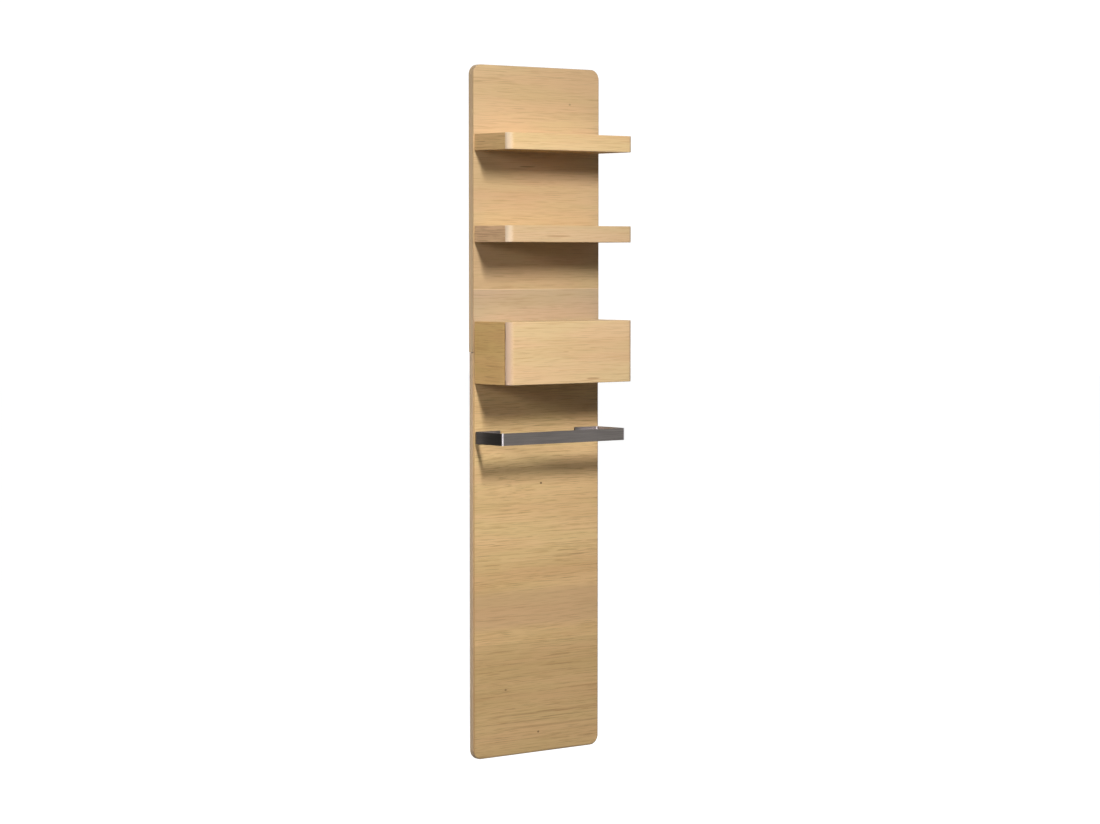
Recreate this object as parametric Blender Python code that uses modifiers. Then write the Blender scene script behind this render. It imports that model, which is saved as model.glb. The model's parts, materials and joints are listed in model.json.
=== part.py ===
"""Wall-hung oak column shelf: a tall panel in two lengths with two hollow shelves, a box with a drawer
and a bent steel towel bar.

Metres, +Z up, +Y into the wall, the wall's face at Y = 0. The origin lies on the wall's face, in the
middle of the line through the two keyhole plates. Heights below are measured from the panel's foot.
"""
import math

import bmesh
import bpy
from mathutils import Matrix, Vector

# Panel
PANEL_WIDTH = 0.400
LOWER_LENGTH = 1.000
UPPER_LENGTH = 0.700
PANEL_THICKNESS = 0.018
PANEL_CORNER_RADIUS = 0.025
PANEL_ARRIS = 0.002
SEAM_ARRIS_share = 0.25

# Clearances, and the overrun of every cut
FIT_GAP = 0.0003
OVERRUN = 0.010
BOARD_ARRIS = 0.0008

# Shelves and box
SIDE_INSET = 0.004
REACH = 0.137
FRONT_THICKNESS = 0.018
FRONT_END_RADIUS = 0.015
SIDE_BOARD = 0.012
SHELF_HEIGHT = 0.040
SHELF_SKIN = 0.009
TOP_CLEARANCE = 0.169
SHELF_PITCH = 0.2225
CLEAT_DEPTH = 0.060
CLEAT_END_GAP = 0.0006
BOX_HEIGHT = 0.152
BOX_BOARD = 0.012

# Drawer
DRAWER_REVEAL = 0.0025
DRAWER_SIDE = 0.012
DRAWER_BACK = 0.012
DRAWER_BOTTOM = 0.006
DRAWER_SIDE_PLAY = 0.0015
DRAWER_REAR_GAP = 0.004
DRAWER_FOOT_GAP = 0.004
DRAWER_HEAD_GAP = 0.018
RUNNER_HEIGHT = 0.009
RUNNER_BITE = 0.0055
RUNNER_LENGTH = 0.100
RUNNER_FRONT_GAP = 0.006
RUNNER_LEVEL_share = 0.5
STOP_WIDTH = 0.040
STOP_DEPTH = 0.012
STOP_FRONT_GAP = 0.006
STOP_CATCH = 0.004
FINGER_PULL_WIDTH = 0.110
FINGER_PULL_HEIGHT = 0.014
FINGER_PULL_DEPTH = 0.009
PAD_RADIUS = 0.0045
PAD_LEVEL_share = 0.25

# Towel bar, from flat steel
BAR_DROP = 0.117
BAR_HEIGHT = 0.030
BAR_THICKNESS = 0.004
BAR_REACH = 0.107
BAR_BEND_RADIUS = 0.004
BAR_FLANGE = 0.075
BAR_ARRIS = 0.0004
BAR_SCREW_shares = (0.36, 0.80)

# Metal let into the panel's back, and the dowels across the seam
PLATE_SINK = 0.0005
SPLICE_WIDTH = 0.160
SPLICE_HEIGHT = 0.100
SPLICE_THICKNESS = 0.0025
HANGER_DROP = 0.100
HANGER_INSET = 0.060
HANGER_WIDTH = 0.022
HANGER_HEIGHT = 0.058
HANGER_THICKNESS = 0.002
HANGER_SCREW_INSET = 0.006
KEYHOLE_RADIUS = 0.005
KEYHOLE_SLOT_RADIUS = 0.0025
KEYHOLE_RISE = 0.012
KEYHOLE_POCKET_DEPTH = 0.009
KEYHOLE_POCKET_MARGIN = 0.001
DOWEL_RADIUS = 0.004
DOWEL_LENGTH = 0.040
DOWEL_CHAMFER = 0.001
DOWEL_INSET = 0.050

# Screws. The bite is how far a screw reaches into what it holds on to
LONG_HEAD_RADIUS = 0.0040
LONG_HEAD_SINK = 0.0026
LONG_SHANK_RADIUS = 0.0021
LONG_BITE = 0.027
SHORT_HEAD_RADIUS = 0.0032
SHORT_HEAD_SINK = 0.0018
SHORT_SHANK_RADIUS = 0.0016
SHORT_BITE = 0.0068
SCREW_TIP_share = 0.12
SCREW_SPREAD_share = 0.66
RUNNER_SCREW_share = 0.36

# Facets of round shapes
CORNER_STEPS = 8
TURN_STEPS = 16
BEND_STEPS = 5
ARRIS_STEPS = 2

# A bevel's profile share for a round edge
ROUND_PROFILE_share = 0.5

# Sizes worked out from the ones above
LONG_SCREW = {"head": LONG_HEAD_RADIUS, "sink": LONG_HEAD_SINK, "shank": LONG_SHANK_RADIUS, "bite": LONG_BITE}
SHORT_SCREW = {"head": SHORT_HEAD_RADIUS, "sink": SHORT_HEAD_SINK, "shank": SHORT_SHANK_RADIUS,
               "bite": SHORT_BITE}
SEAM_HEIGHT = LOWER_LENGTH
PANEL_HEIGHT = LOWER_LENGTH + UPPER_LENGTH
UPPER_SHELF_BASE = PANEL_HEIGHT - TOP_CLEARANCE - SHELF_HEIGHT
LOWER_SHELF_BASE = UPPER_SHELF_BASE - SHELF_PITCH
HANGER_LEVEL = PANEL_HEIGHT - HANGER_DROP
HALF_PANEL = PANEL_WIDTH / 2
HALF_BODY = HALF_PANEL - SIDE_INSET
HALF_INSIDE = HALF_BODY - SIDE_BOARD
PANEL_FACE = -PANEL_THICKNESS
BODY_BACK = PANEL_FACE - FIT_GAP
BODY_FACE = PANEL_FACE - REACH
FRONT_BACK = BODY_FACE + FRONT_THICKNESS
BOX_BASE = SEAM_HEIGHT - BOX_HEIGHT / 2
BOX_TOP = BOX_BASE + BOX_HEIGHT
BOX_MOUTH = FRONT_BACK + DRAWER_REVEAL
BAR_BASE = BOX_BASE - BAR_DROP - BAR_HEIGHT
DRAWER_HALF = HALF_INSIDE - DRAWER_SIDE_PLAY
DRAWER_REAR = PANEL_FACE - DRAWER_REAR_GAP
DRAWER_FOOT = BOX_BASE + BOX_BOARD + DRAWER_FOOT_GAP
DRAWER_HEAD = BOX_TOP - BOX_BOARD - DRAWER_HEAD_GAP
DRAWER_SIDE_FOOT = DRAWER_FOOT + DRAWER_BOTTOM + FIT_GAP
RUNNER_LEVEL = DRAWER_SIDE_FOOT + (DRAWER_HEAD - DRAWER_SIDE_FOOT) * RUNNER_LEVEL_share
RUNNER_FRONT = BOX_MOUTH + RUNNER_FRONT_GAP
RUNNER_REAR = RUNNER_FRONT + RUNNER_LENGTH
STOP_FRONT = BOX_MOUTH + STOP_FRONT_GAP
STOP_REAR = STOP_FRONT + STOP_DEPTH
STOP_FOOT = DRAWER_HEAD - STOP_CATCH
DRAWER_TRAVEL = DRAWER_REAR - DRAWER_BACK - STOP_REAR - FIT_GAP


def clear_scene():
    """Remove the objects that a new file starts with."""
    for leftover in list(bpy.data.objects):
        bpy.data.objects.remove(leftover, do_unlink=True)


def make_collection(name):
    """Add a collection to the scene."""
    collection = bpy.data.collections.new(name)
    bpy.context.scene.collection.children.link(collection)
    return collection


def make_material(name, colour, roughness, metallic=0.0):
    """Make a Principled BSDF material from its colour, roughness and metallic value."""
    material = bpy.data.materials.new(name)
    material.use_nodes = True
    shader = material.node_tree.nodes["Principled BSDF"]
    shader.inputs["Base Color"].default_value = (*colour, 1.0)
    shader.inputs["Roughness"].default_value = roughness
    shader.inputs["Metallic"].default_value = metallic
    material.diffuse_color = (*colour, 1.0)
    return material


clear_scene()
PARTS = make_collection("column_shelf")
CUTTERS = make_collection("column_shelf_cutters")

FINISHES = {
    "oak_panel": ((0.62, 0.42, 0.22), 0.55, 0.0),
    "oak_shelf": ((0.72, 0.50, 0.26), 0.55, 0.0),
    "oak_side": ((0.50, 0.34, 0.15), 0.55, 0.0),
    "beech": ((0.70, 0.52, 0.34), 0.60, 0.0),
    "birch_ply": ((0.74, 0.60, 0.42), 0.60, 0.0),
    "dark_steel": ((0.10, 0.10, 0.11), 0.38, 1.0),
    "zinc_steel": ((0.62, 0.62, 0.60), 0.35, 1.0),
    "felt": ((0.10, 0.08, 0.07), 0.95, 0.0),
}


def finish_material(node, finish):
    """Give a node its own material in one of the finishes."""
    colour, roughness, metallic = FINISHES[finish]
    return make_material(f"{node}_{finish}", colour, roughness, metallic)


def make_empty(name, parent=None, location=(0.0, 0.0, 0.0)):
    """Add an empty that carries other pieces."""
    empty = bpy.data.objects.new(name, None)
    empty.location = location
    empty.parent = parent
    PARTS.objects.link(empty)
    return empty


# The column's empty stands at the panel's foot, so that heights count from there
COLUMN = make_empty("column", location=(0.0, 0.0, -HANGER_LEVEL))
# The drawer's empty lies on the line that the drawer slides along
DRAWER = make_empty("drawer", COLUMN, (0.0, FRONT_BACK, RUNNER_LEVEL))


def add_part(name, mesh, finish, parent, centre):
    """Add a named piece whose centre is given in the column's frame."""
    piece = bpy.data.objects.new(name, mesh)
    mesh.materials.append(finish_material(name, finish))
    piece.parent = parent
    offset = DRAWER.location if parent is DRAWER else Vector()
    piece.location = Vector(centre) - offset
    PARTS.objects.link(piece)
    return piece


def add_cutter(name, mesh, centre):
    """Add a shape that only cuts other pieces."""
    cutter = bpy.data.objects.new(name, mesh)
    cutter.parent = COLUMN
    cutter.location = centre
    cutter.hide_render = True
    cutter.display_type = "WIRE"
    CUTTERS.objects.link(cutter)
    return cutter


def cut(piece, *cutters):
    """Cut a piece with each cutter in turn."""
    for cutter in cutters:
        boolean = piece.modifiers.new(cutter.name, "BOOLEAN")
        boolean.operation = "DIFFERENCE"
        boolean.solver = "EXACT"
        boolean.object = cutter


def block_mesh(name, size, rounded=None, radius=0.0, arris_share=None):
    """Make a block around its own centre. rounded picks the edges that get the radius, and arris_share
    gives each edge its share of the piece's arris."""
    shape = bmesh.new()
    bmesh.ops.create_cube(shape, size=1.0, matrix=Matrix.Diagonal((*size, 1.0)))
    if rounded:
        edges = [edge for edge in shape.edges if rounded(edge)]
        bmesh.ops.bevel(shape, geom=edges, offset=radius, segments=CORNER_STEPS,
                        profile=ROUND_PROFILE_share, affect="EDGES", clamp_overlap=True)
    if arris_share:
        layer = shape.edges.layers.float.new("bevel_weight_edge")
        for edge in shape.edges:
            edge[layer] = arris_share(edge)
    mesh = bpy.data.meshes.new(name)
    shape.to_mesh(mesh)
    shape.free()
    return mesh


def soften(piece, width, limit="ANGLE"):
    """Round the piece's arrises."""
    bevel = piece.modifiers.new("arris", "BEVEL")
    bevel.width = width
    bevel.segments = ARRIS_STEPS
    bevel.limit_method = limit
    bevel.angle_limit = math.radians(40)
    return bevel


def board(name, finish, low, high, parent=COLUMN, rounded=None, radius=0.0, arris=BOARD_ARRIS):
    """Add a board between its lowest and highest corners."""
    low = Vector(low)
    high = Vector(high)
    mesh = block_mesh(name, high - low, rounded, radius)
    piece = add_part(name, mesh, finish, parent, (low + high) / 2)
    if arris:
        soften(piece, arris)
    return piece


def block_cutter(name, low, high):
    """Add a block that cuts, between its lowest and highest corners."""
    low = Vector(low)
    high = Vector(high)
    return add_cutter(name, block_mesh(name, high - low), (low + high) / 2)


def is_upright_front(edge):
    """Tell whether an edge stands upright at a block's front."""
    first, second = (corner.co for corner in edge.verts)
    upright = (first - second).normalized().z
    return abs(upright) > 0.9 and first.y < 0 and second.y < 0


def turned_mesh(name, profile):
    """Make the open profile of a turned piece, as (radius, height) pairs from top to bottom."""
    mesh = bpy.data.meshes.new(name)
    points = [(radius, 0.0, height) for radius, height in profile]
    mesh.from_pydata(points, [(row, row + 1) for row in range(len(points) - 1)], [])
    return mesh


def turn(piece):
    """Turn a profile round its own Z axis."""
    screw = piece.modifiers.new("turn", "SCREW")
    screw.axis = "Z"
    screw.angle = math.tau
    screw.steps = TURN_STEPS
    screw.render_steps = TURN_STEPS
    screw.use_merge_vertices = True
    screw.merge_threshold = 0.00001
    screw.use_smooth_shade = True


def aim(piece, outward):
    """Point the piece's own Z axis outward."""
    piece.rotation_mode = "QUATERNION"
    piece.rotation_quaternion = Vector(outward).to_track_quat("Z", "Y")


def screw(name, kind, head, outward, grip):
    """Add a countersunk screw and return the cutter of its hole. head is the middle of the head's face,
    outward is the way it faces, and grip is what it passes through before it bites."""
    length = grip + kind["bite"]
    neck = length * (1 - SCREW_TIP_share)
    profile = [(0.0, 0.0), (kind["head"], 0.0), (kind["shank"], -kind["sink"]),
               (kind["shank"], -neck), (0.0, -length)]
    piece = add_part(name, turned_mesh(name, profile), "zinc_steel", COLUMN, head)
    aim(piece, outward)
    turn(piece)
    wide = kind["head"] + FIT_GAP
    slim = kind["shank"] + FIT_GAP
    hole = [(0.0, OVERRUN), (wide, OVERRUN), (wide, -FIT_GAP), (slim, -kind["sink"] - FIT_GAP),
            (slim, -length - FIT_GAP), (0.0, -length - FIT_GAP)]
    cutter = add_cutter(f"{name}_hole", turned_mesh(f"{name}_hole", hole), head)
    aim(cutter, outward)
    turn(cutter)
    return cutter


def pin_cutter(name, radius, length, centre, outward):
    """Add a round straight cutter around its middle."""
    profile = [(0.0, length / 2), (radius, length / 2), (radius, -length / 2), (0.0, -length / 2)]
    cutter = add_cutter(name, turned_mesh(name, profile), centre)
    aim(cutter, outward)
    turn(cutter)
    return cutter


BACKWARD = (0.0, 1.0, 0.0)
FORWARD = (0.0, -1.0, 0.0)
UPWARD = (0.0, 0.0, 1.0)
DOWNWARD = (0.0, 0.0, -1.0)
SIDES = {"left": -1, "right": 1}


def panel_length(name, foot, head, seam_at_foot):
    """Add one length of the panel. Its outer corners are round, and its arris is fine at the seam."""
    size = Vector((PANEL_WIDTH, PANEL_THICKNESS, head - foot))
    outer = 1 if seam_at_foot else -1

    def outer_corner(edge):
        first, second = (corner.co for corner in edge.verts)
        along = abs((first - second).normalized().y)
        return along > 0.9 and first.z * outer > 0

    def arris_share(edge):
        first, second = (corner.co for corner in edge.verts)
        if first.y * second.y < 0:
            at_seam = first.z * outer < 0 and abs(first.x) > size.x / 4
            return SEAM_ARRIS_share if at_seam else 0.0
        at_seam = first.z * outer < 0 and second.z * outer < 0
        return SEAM_ARRIS_share if at_seam else 1.0

    mesh = block_mesh(name, size, outer_corner, PANEL_CORNER_RADIUS, arris_share)
    centre = (0.0, -PANEL_THICKNESS / 2, (foot + head) / 2)
    piece = add_part(name, mesh, "oak_panel", COLUMN, centre)
    soften(piece, PANEL_ARRIS, "WEIGHT")
    return piece


def panels():
    """Add the two lengths of the panel."""
    lower = panel_length("lower_panel", 0.0, SEAM_HEIGHT - FIT_GAP / 2, False)
    upper = panel_length("upper_panel", SEAM_HEIGHT + FIT_GAP / 2, PANEL_HEIGHT, True)
    return lower, upper


def seam_dowels(lower, upper):
    """Add the dowels that line up the two lengths, each in a blind hole of both."""
    for side, sign in SIDES.items():
        name = f"seam_dowel_{side}"
        half = DOWEL_LENGTH / 2
        tip = DOWEL_RADIUS - DOWEL_CHAMFER
        profile = [(0.0, half), (tip, half), (DOWEL_RADIUS, half - DOWEL_CHAMFER),
                   (DOWEL_RADIUS, DOWEL_CHAMFER - half), (tip, -half), (0.0, -half)]
        centre = (sign * (HALF_PANEL - DOWEL_INSET), -PANEL_THICKNESS / 2, SEAM_HEIGHT)
        piece = add_part(name, turned_mesh(name, profile), "beech", COLUMN, centre)
        turn(piece)
        hole = pin_cutter(f"{name}_hole", DOWEL_RADIUS + FIT_GAP, DOWEL_LENGTH + FIT_GAP * 2, centre, UPWARD)
        cut(lower, hole)
        cut(upper, hole)


def let_in_plate(name, panel_pieces, width, height, thickness, centre_x, centre_z):
    """Add a steel plate let into the panel's back."""
    outside = -PLATE_SINK
    inside = outside - thickness
    low = (centre_x - width / 2, inside, centre_z - height / 2)
    high = (centre_x + width / 2, outside, centre_z + height / 2)
    piece = board(name, "zinc_steel", low, high, arris=0.0)
    bed = block_cutter(f"{name}_bed", Vector(low) - Vector((FIT_GAP, FIT_GAP, FIT_GAP)),
                       Vector(high) + Vector((FIT_GAP, OVERRUN, FIT_GAP)))
    for panel in panel_pieces:
        cut(panel, bed)
    return piece


def splice(lower, upper):
    """Add the plate that ties the two lengths together, with two screws in each."""
    plate = let_in_plate("splice_plate", (lower, upper), SPLICE_WIDTH, SPLICE_HEIGHT, SPLICE_THICKNESS,
                         0.0, SEAM_HEIGHT)
    for level, panel, rise in (("lower", lower, -1), ("upper", upper, 1)):
        for side, sign in SIDES.items():
            head = (sign * SPLICE_WIDTH / 2 * SCREW_SPREAD_share, -PLATE_SINK,
                    SEAM_HEIGHT + rise * SPLICE_HEIGHT / 2 * SCREW_SPREAD_share)
            hole = screw(f"splice_screw_{level}_{side}", SHORT_SCREW, head, BACKWARD, SPLICE_THICKNESS)
            cut(plate, hole)
            cut(panel, hole)


def hanger(side, sign, panel):
    """Add one keyhole plate, the pocket behind it and its two screws."""
    middle = sign * (HALF_PANEL - HANGER_INSET)
    name = f"hanger_plate_{side}"
    plate = let_in_plate(name, (panel,), HANGER_WIDTH, HANGER_HEIGHT, HANGER_THICKNESS,
                         middle, HANGER_LEVEL)
    inside = -PLATE_SINK - HANGER_THICKNESS
    through = (PLATE_SINK + HANGER_THICKNESS + OVERRUN) * 2
    entry_level = HANGER_LEVEL - KEYHOLE_RISE / 2
    rest_level = HANGER_LEVEL + KEYHOLE_RISE / 2
    entry = pin_cutter(f"{name}_entry", KEYHOLE_RADIUS, through, (middle, 0.0, entry_level), BACKWARD)
    rest = pin_cutter(f"{name}_rest", KEYHOLE_SLOT_RADIUS, through, (middle, 0.0, rest_level), BACKWARD)
    slot = block_cutter(f"{name}_slot", (middle - KEYHOLE_SLOT_RADIUS, -through / 2, entry_level),
                        (middle + KEYHOLE_SLOT_RADIUS, through / 2, rest_level))
    cut(plate, entry, rest, slot)
    room = KEYHOLE_RADIUS + KEYHOLE_POCKET_MARGIN
    pocket = block_cutter(f"{name}_pocket",
                          (middle - room, inside - KEYHOLE_POCKET_DEPTH, entry_level - room),
                          (middle + room, OVERRUN, rest_level + room))
    cut(panel, pocket)
    for end, rise in (("foot", -1), ("head", 1)):
        head = (middle, -PLATE_SINK, HANGER_LEVEL + rise * (HANGER_HEIGHT / 2 - HANGER_SCREW_INSET))
        hole = screw(f"hanger_screw_{side}_{end}", SHORT_SCREW, head, BACKWARD, HANGER_THICKNESS)
        cut(plate, hole)
        cut(panel, hole)


def shelf(name, base, panel):
    """Add one hollow shelf: a front with rounded ends, two sides, a top, a bottom and its hidden cleat."""
    head = base + SHELF_HEIGHT
    board(f"{name}_front", "oak_shelf", (-HALF_BODY, BODY_FACE, base), (HALF_BODY, FRONT_BACK, head),
          rounded=is_upright_front, radius=FRONT_END_RADIUS)
    mouth = FRONT_BACK + FIT_GAP
    for side, sign in SIDES.items():
        edges = sorted((sign * HALF_BODY, sign * HALF_INSIDE))
        board(f"{name}_{side}", "oak_side", (edges[0], mouth, base), (edges[1], BODY_BACK, head))
    half = HALF_INSIDE - FIT_GAP
    board(f"{name}_top", "oak_shelf", (-half, mouth, head - SHELF_SKIN), (half, BODY_BACK, head))
    board(f"{name}_bottom", "oak_shelf", (-half, mouth, base), (half, BODY_BACK, base + SHELF_SKIN))
    reach = HALF_INSIDE - CLEAT_END_GAP
    cleat = board(f"{name}_cleat", "beech",
                  (-reach, BODY_BACK - CLEAT_DEPTH, base + SHELF_SKIN + FIT_GAP),
                  (reach, BODY_BACK, head - SHELF_SKIN - FIT_GAP))
    for side, sign in SIDES.items():
        start = (sign * HALF_INSIDE * SCREW_SPREAD_share, -PLATE_SINK, base + SHELF_HEIGHT / 2)
        hole = screw(f"{name}_screw_{side}", LONG_SCREW, start, BACKWARD, PANEL_THICKNESS)
        cut(panel, hole)
        cut(cleat, hole)


def drawer_box(lower, upper):
    """Add the box that the drawer slides in, with its four screws from behind the panel."""
    sides = {}
    for side, sign in SIDES.items():
        edges = sorted((sign * HALF_BODY, sign * HALF_INSIDE))
        sides[side] = board(f"box_{side}_side", "oak_side", (edges[0], BOX_MOUTH, BOX_BASE),
                            (edges[1], BODY_BACK, BOX_TOP))
    half = HALF_INSIDE - FIT_GAP
    levels = {
        "top": (BOX_TOP - BOX_BOARD, BOX_TOP, upper),
        "bottom": (BOX_BASE, BOX_BASE + BOX_BOARD, lower),
    }
    boards = {}
    for level, (foot, head, panel) in levels.items():
        piece = board(f"box_{level}", "oak_shelf", (-half, BOX_MOUTH, foot), (half, BODY_BACK, head))
        boards[level] = piece
        for side, sign in SIDES.items():
            start = (sign * HALF_INSIDE * SCREW_SPREAD_share, -PLATE_SINK, (foot + head) / 2)
            hole = screw(f"box_screw_{level}_{side}", LONG_SCREW, start, BACKWARD, PANEL_THICKNESS)
            cut(panel, hole)
            cut(piece, hole)
    return sides, boards


def runners(sides):
    """Add the strips that the drawer's grooves ride on, each with two screws."""
    foot = RUNNER_LEVEL - RUNNER_HEIGHT / 2
    head = RUNNER_LEVEL + RUNNER_HEIGHT / 2
    width = DRAWER_SIDE_PLAY + RUNNER_BITE
    for side, sign in SIDES.items():
        edges = sorted((sign * (HALF_INSIDE - FIT_GAP), sign * (HALF_INSIDE - width)))
        strip = board(f"runner_{side}", "beech", (edges[0], RUNNER_FRONT, foot),
                      (edges[1], RUNNER_REAR, head))
        middle = (RUNNER_FRONT + RUNNER_REAR) / 2
        for end, way in (("front", -1), ("rear", 1)):
            start = (sign * (HALF_INSIDE - width), middle + way * RUNNER_LENGTH * RUNNER_SCREW_share,
                     RUNNER_LEVEL)
            hole = screw(f"runner_screw_{side}_{end}", SHORT_SCREW, start, (-sign, 0.0, 0.0), width)
            cut(strip, hole)
            cut(sides[side], hole)


def drawer_stop(box_top):
    """Add the block that catches the drawer's back, with its screw from below."""
    block = board("drawer_stop", "beech", (-STOP_WIDTH / 2, STOP_FRONT, STOP_FOOT),
                  (STOP_WIDTH / 2, STOP_REAR, BOX_TOP - BOX_BOARD - FIT_GAP))
    start = (0.0, (STOP_FRONT + STOP_REAR) / 2, STOP_FOOT)
    grip = BOX_TOP - BOX_BOARD - STOP_FOOT
    hole = screw("drawer_stop_screw", SHORT_SCREW, start, DOWNWARD, grip)
    cut(block, hole)
    cut(box_top, hole)


def drawer():
    """Add the drawer: its front with rounded ends, grooved sides, back and bottom."""
    front = board("drawer_front", "oak_shelf", (-HALF_BODY, BODY_FACE, BOX_BASE),
                  (HALF_BODY, FRONT_BACK, BOX_TOP), DRAWER, is_upright_front, FRONT_END_RADIUS)
    half_pull = FINGER_PULL_WIDTH / 2
    pull = block_cutter("finger_pull", (-half_pull, FRONT_BACK - FINGER_PULL_DEPTH, BOX_BASE - OVERRUN),
                        (half_pull, FRONT_BACK + OVERRUN, BOX_BASE + FINGER_PULL_HEIGHT))
    cut(front, pull)
    mouth = FRONT_BACK + FIT_GAP
    for side, sign in SIDES.items():
        edges = sorted((sign * DRAWER_HALF, sign * (DRAWER_HALF - DRAWER_SIDE)))
        piece = board(f"drawer_{side}_side", "birch_ply", (edges[0], mouth, DRAWER_SIDE_FOOT),
                      (edges[1], DRAWER_REAR, DRAWER_HEAD), DRAWER)
        depth = RUNNER_BITE + FIT_GAP
        lips = sorted((sign * (DRAWER_HALF + OVERRUN), sign * (DRAWER_HALF - depth)))
        rise = RUNNER_HEIGHT / 2 + FIT_GAP
        groove = block_cutter(f"drawer_{side}_groove", (lips[0], RUNNER_FRONT - FIT_GAP, RUNNER_LEVEL - rise),
                              (lips[1], DRAWER_REAR + OVERRUN, RUNNER_LEVEL + rise))
        cut(piece, groove)
    inside = DRAWER_HALF - DRAWER_SIDE - FIT_GAP
    board("drawer_back", "birch_ply", (-inside, DRAWER_REAR - DRAWER_BACK, DRAWER_SIDE_FOOT),
          (inside, DRAWER_REAR, DRAWER_HEAD), DRAWER)
    board("drawer_bottom", "birch_ply", (-DRAWER_HALF, mouth, DRAWER_FOOT),
          (DRAWER_HALF, DRAWER_REAR, DRAWER_FOOT + DRAWER_BOTTOM), DRAWER)


def pads():
    """Add the felt pads on the box's front edges, which the closed drawer meets."""
    thickness = DRAWER_REVEAL - FIT_GAP * 2
    for side, sign in SIDES.items():
        name = f"felt_pad_{side}"
        profile = [(0.0, thickness / 2), (PAD_RADIUS, thickness / 2), (PAD_RADIUS, -thickness / 2),
                   (0.0, -thickness / 2)]
        centre = (sign * (HALF_BODY + HALF_INSIDE) / 2, BOX_MOUTH - DRAWER_REVEAL / 2,
                  BOX_BASE + BOX_HEIGHT * PAD_LEVEL_share)
        piece = add_part(name, turned_mesh(name, profile), "felt", COLUMN, centre)
        aim(piece, FORWARD)
        turn(piece)


def arc(centre, radius, start, end):
    """Give the points of an arc, from one angle to another."""
    angles = [start + (end - start) * step / BEND_STEPS for step in range(BEND_STEPS + 1)]
    return [(centre[0] + radius * math.cos(angle), centre[1] + radius * math.sin(angle)) for angle in angles]


def towel_bar(panel):
    """Add the bar: a flat strip bent along its middle plane, with two screws in each turned end."""
    half = HALF_BODY - BAR_THICKNESS / 2
    back = BODY_BACK - BAR_THICKNESS / 2
    front = PANEL_FACE - BAR_REACH + BAR_THICKNESS / 2
    bend = BAR_BEND_RADIUS
    flange_end = half - BAR_FLANGE
    left = [(-flange_end, back)]
    left += arc((bend - half, back - bend), bend, math.pi / 2, math.pi)
    left += arc((bend - half, front + bend), bend, math.pi, math.pi * 1.5)
    route = left + [(-x, y) for x, y in reversed(left)]

    shape = bmesh.new()
    corners = [shape.verts.new((x, y, -BAR_HEIGHT / 2)) for x, y in route]
    edges = [shape.edges.new(pair) for pair in zip(corners, corners[1:])]
    grown = bmesh.ops.extrude_edge_only(shape, edges=edges)["geom"]
    raised = [item for item in grown if isinstance(item, bmesh.types.BMVert)]
    bmesh.ops.translate(shape, verts=raised, vec=(0.0, 0.0, BAR_HEIGHT))
    bmesh.ops.recalc_face_normals(shape, faces=shape.faces)
    mesh = bpy.data.meshes.new("towel_bar")
    shape.to_mesh(mesh)
    shape.free()

    middle = BAR_BASE + BAR_HEIGHT / 2
    bar = add_part("towel_bar", mesh, "dark_steel", COLUMN, (0.0, 0.0, middle))
    solid = bar.modifiers.new("thickness", "SOLIDIFY")
    solid.thickness = BAR_THICKNESS
    solid.offset = 0.0
    solid.use_even_offset = True
    soften(bar, BAR_ARRIS)
    for side, sign in SIDES.items():
        for end, share in zip(("outer", "inner"), BAR_SCREW_shares):
            start = (sign * (half - BAR_FLANGE * share), BODY_BACK - BAR_THICKNESS, middle)
            hole = screw(f"bar_screw_{side}_{end}", SHORT_SCREW, start, FORWARD, BAR_THICKNESS + FIT_GAP)
            cut(bar, hole)
            cut(panel, hole)


def build():
    """Build the whole column shelf."""
    lower, upper = panels()
    seam_dowels(lower, upper)
    splice(lower, upper)
    for side, sign in SIDES.items():
        hanger(side, sign, upper)
    shelf("upper_shelf", UPPER_SHELF_BASE, upper)
    shelf("lower_shelf", LOWER_SHELF_BASE, upper)
    sides, boards = drawer_box(lower, upper)
    runners(sides)
    drawer_stop(boards["top"])
    pads()
    drawer()
    towel_bar(lower)
    print(f"drawer travel {DRAWER_TRAVEL:.4f} m, {len(PARTS.objects)} objects with the empties")


build()
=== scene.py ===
# %% [markdown]
# # An oak column shelf for the wall
# The object is a tall oak panel that hangs on a wall. It carries two thick shelves, a box with a drawer and
# a towel bar of bent flat steel. Its working solids are made already, at their real size, and this lesson
# dresses them: finer meshes where a rounded edge shows, and wood, steel and felt that are worked out by
# nodes and not painted from pictures.
#
# The solids are loaded first, because every finer piece takes its place and size from them.

# %% Load the solids
import json
import math

import bpy
import numpy as np
from mathutils import Matrix, Vector


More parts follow.
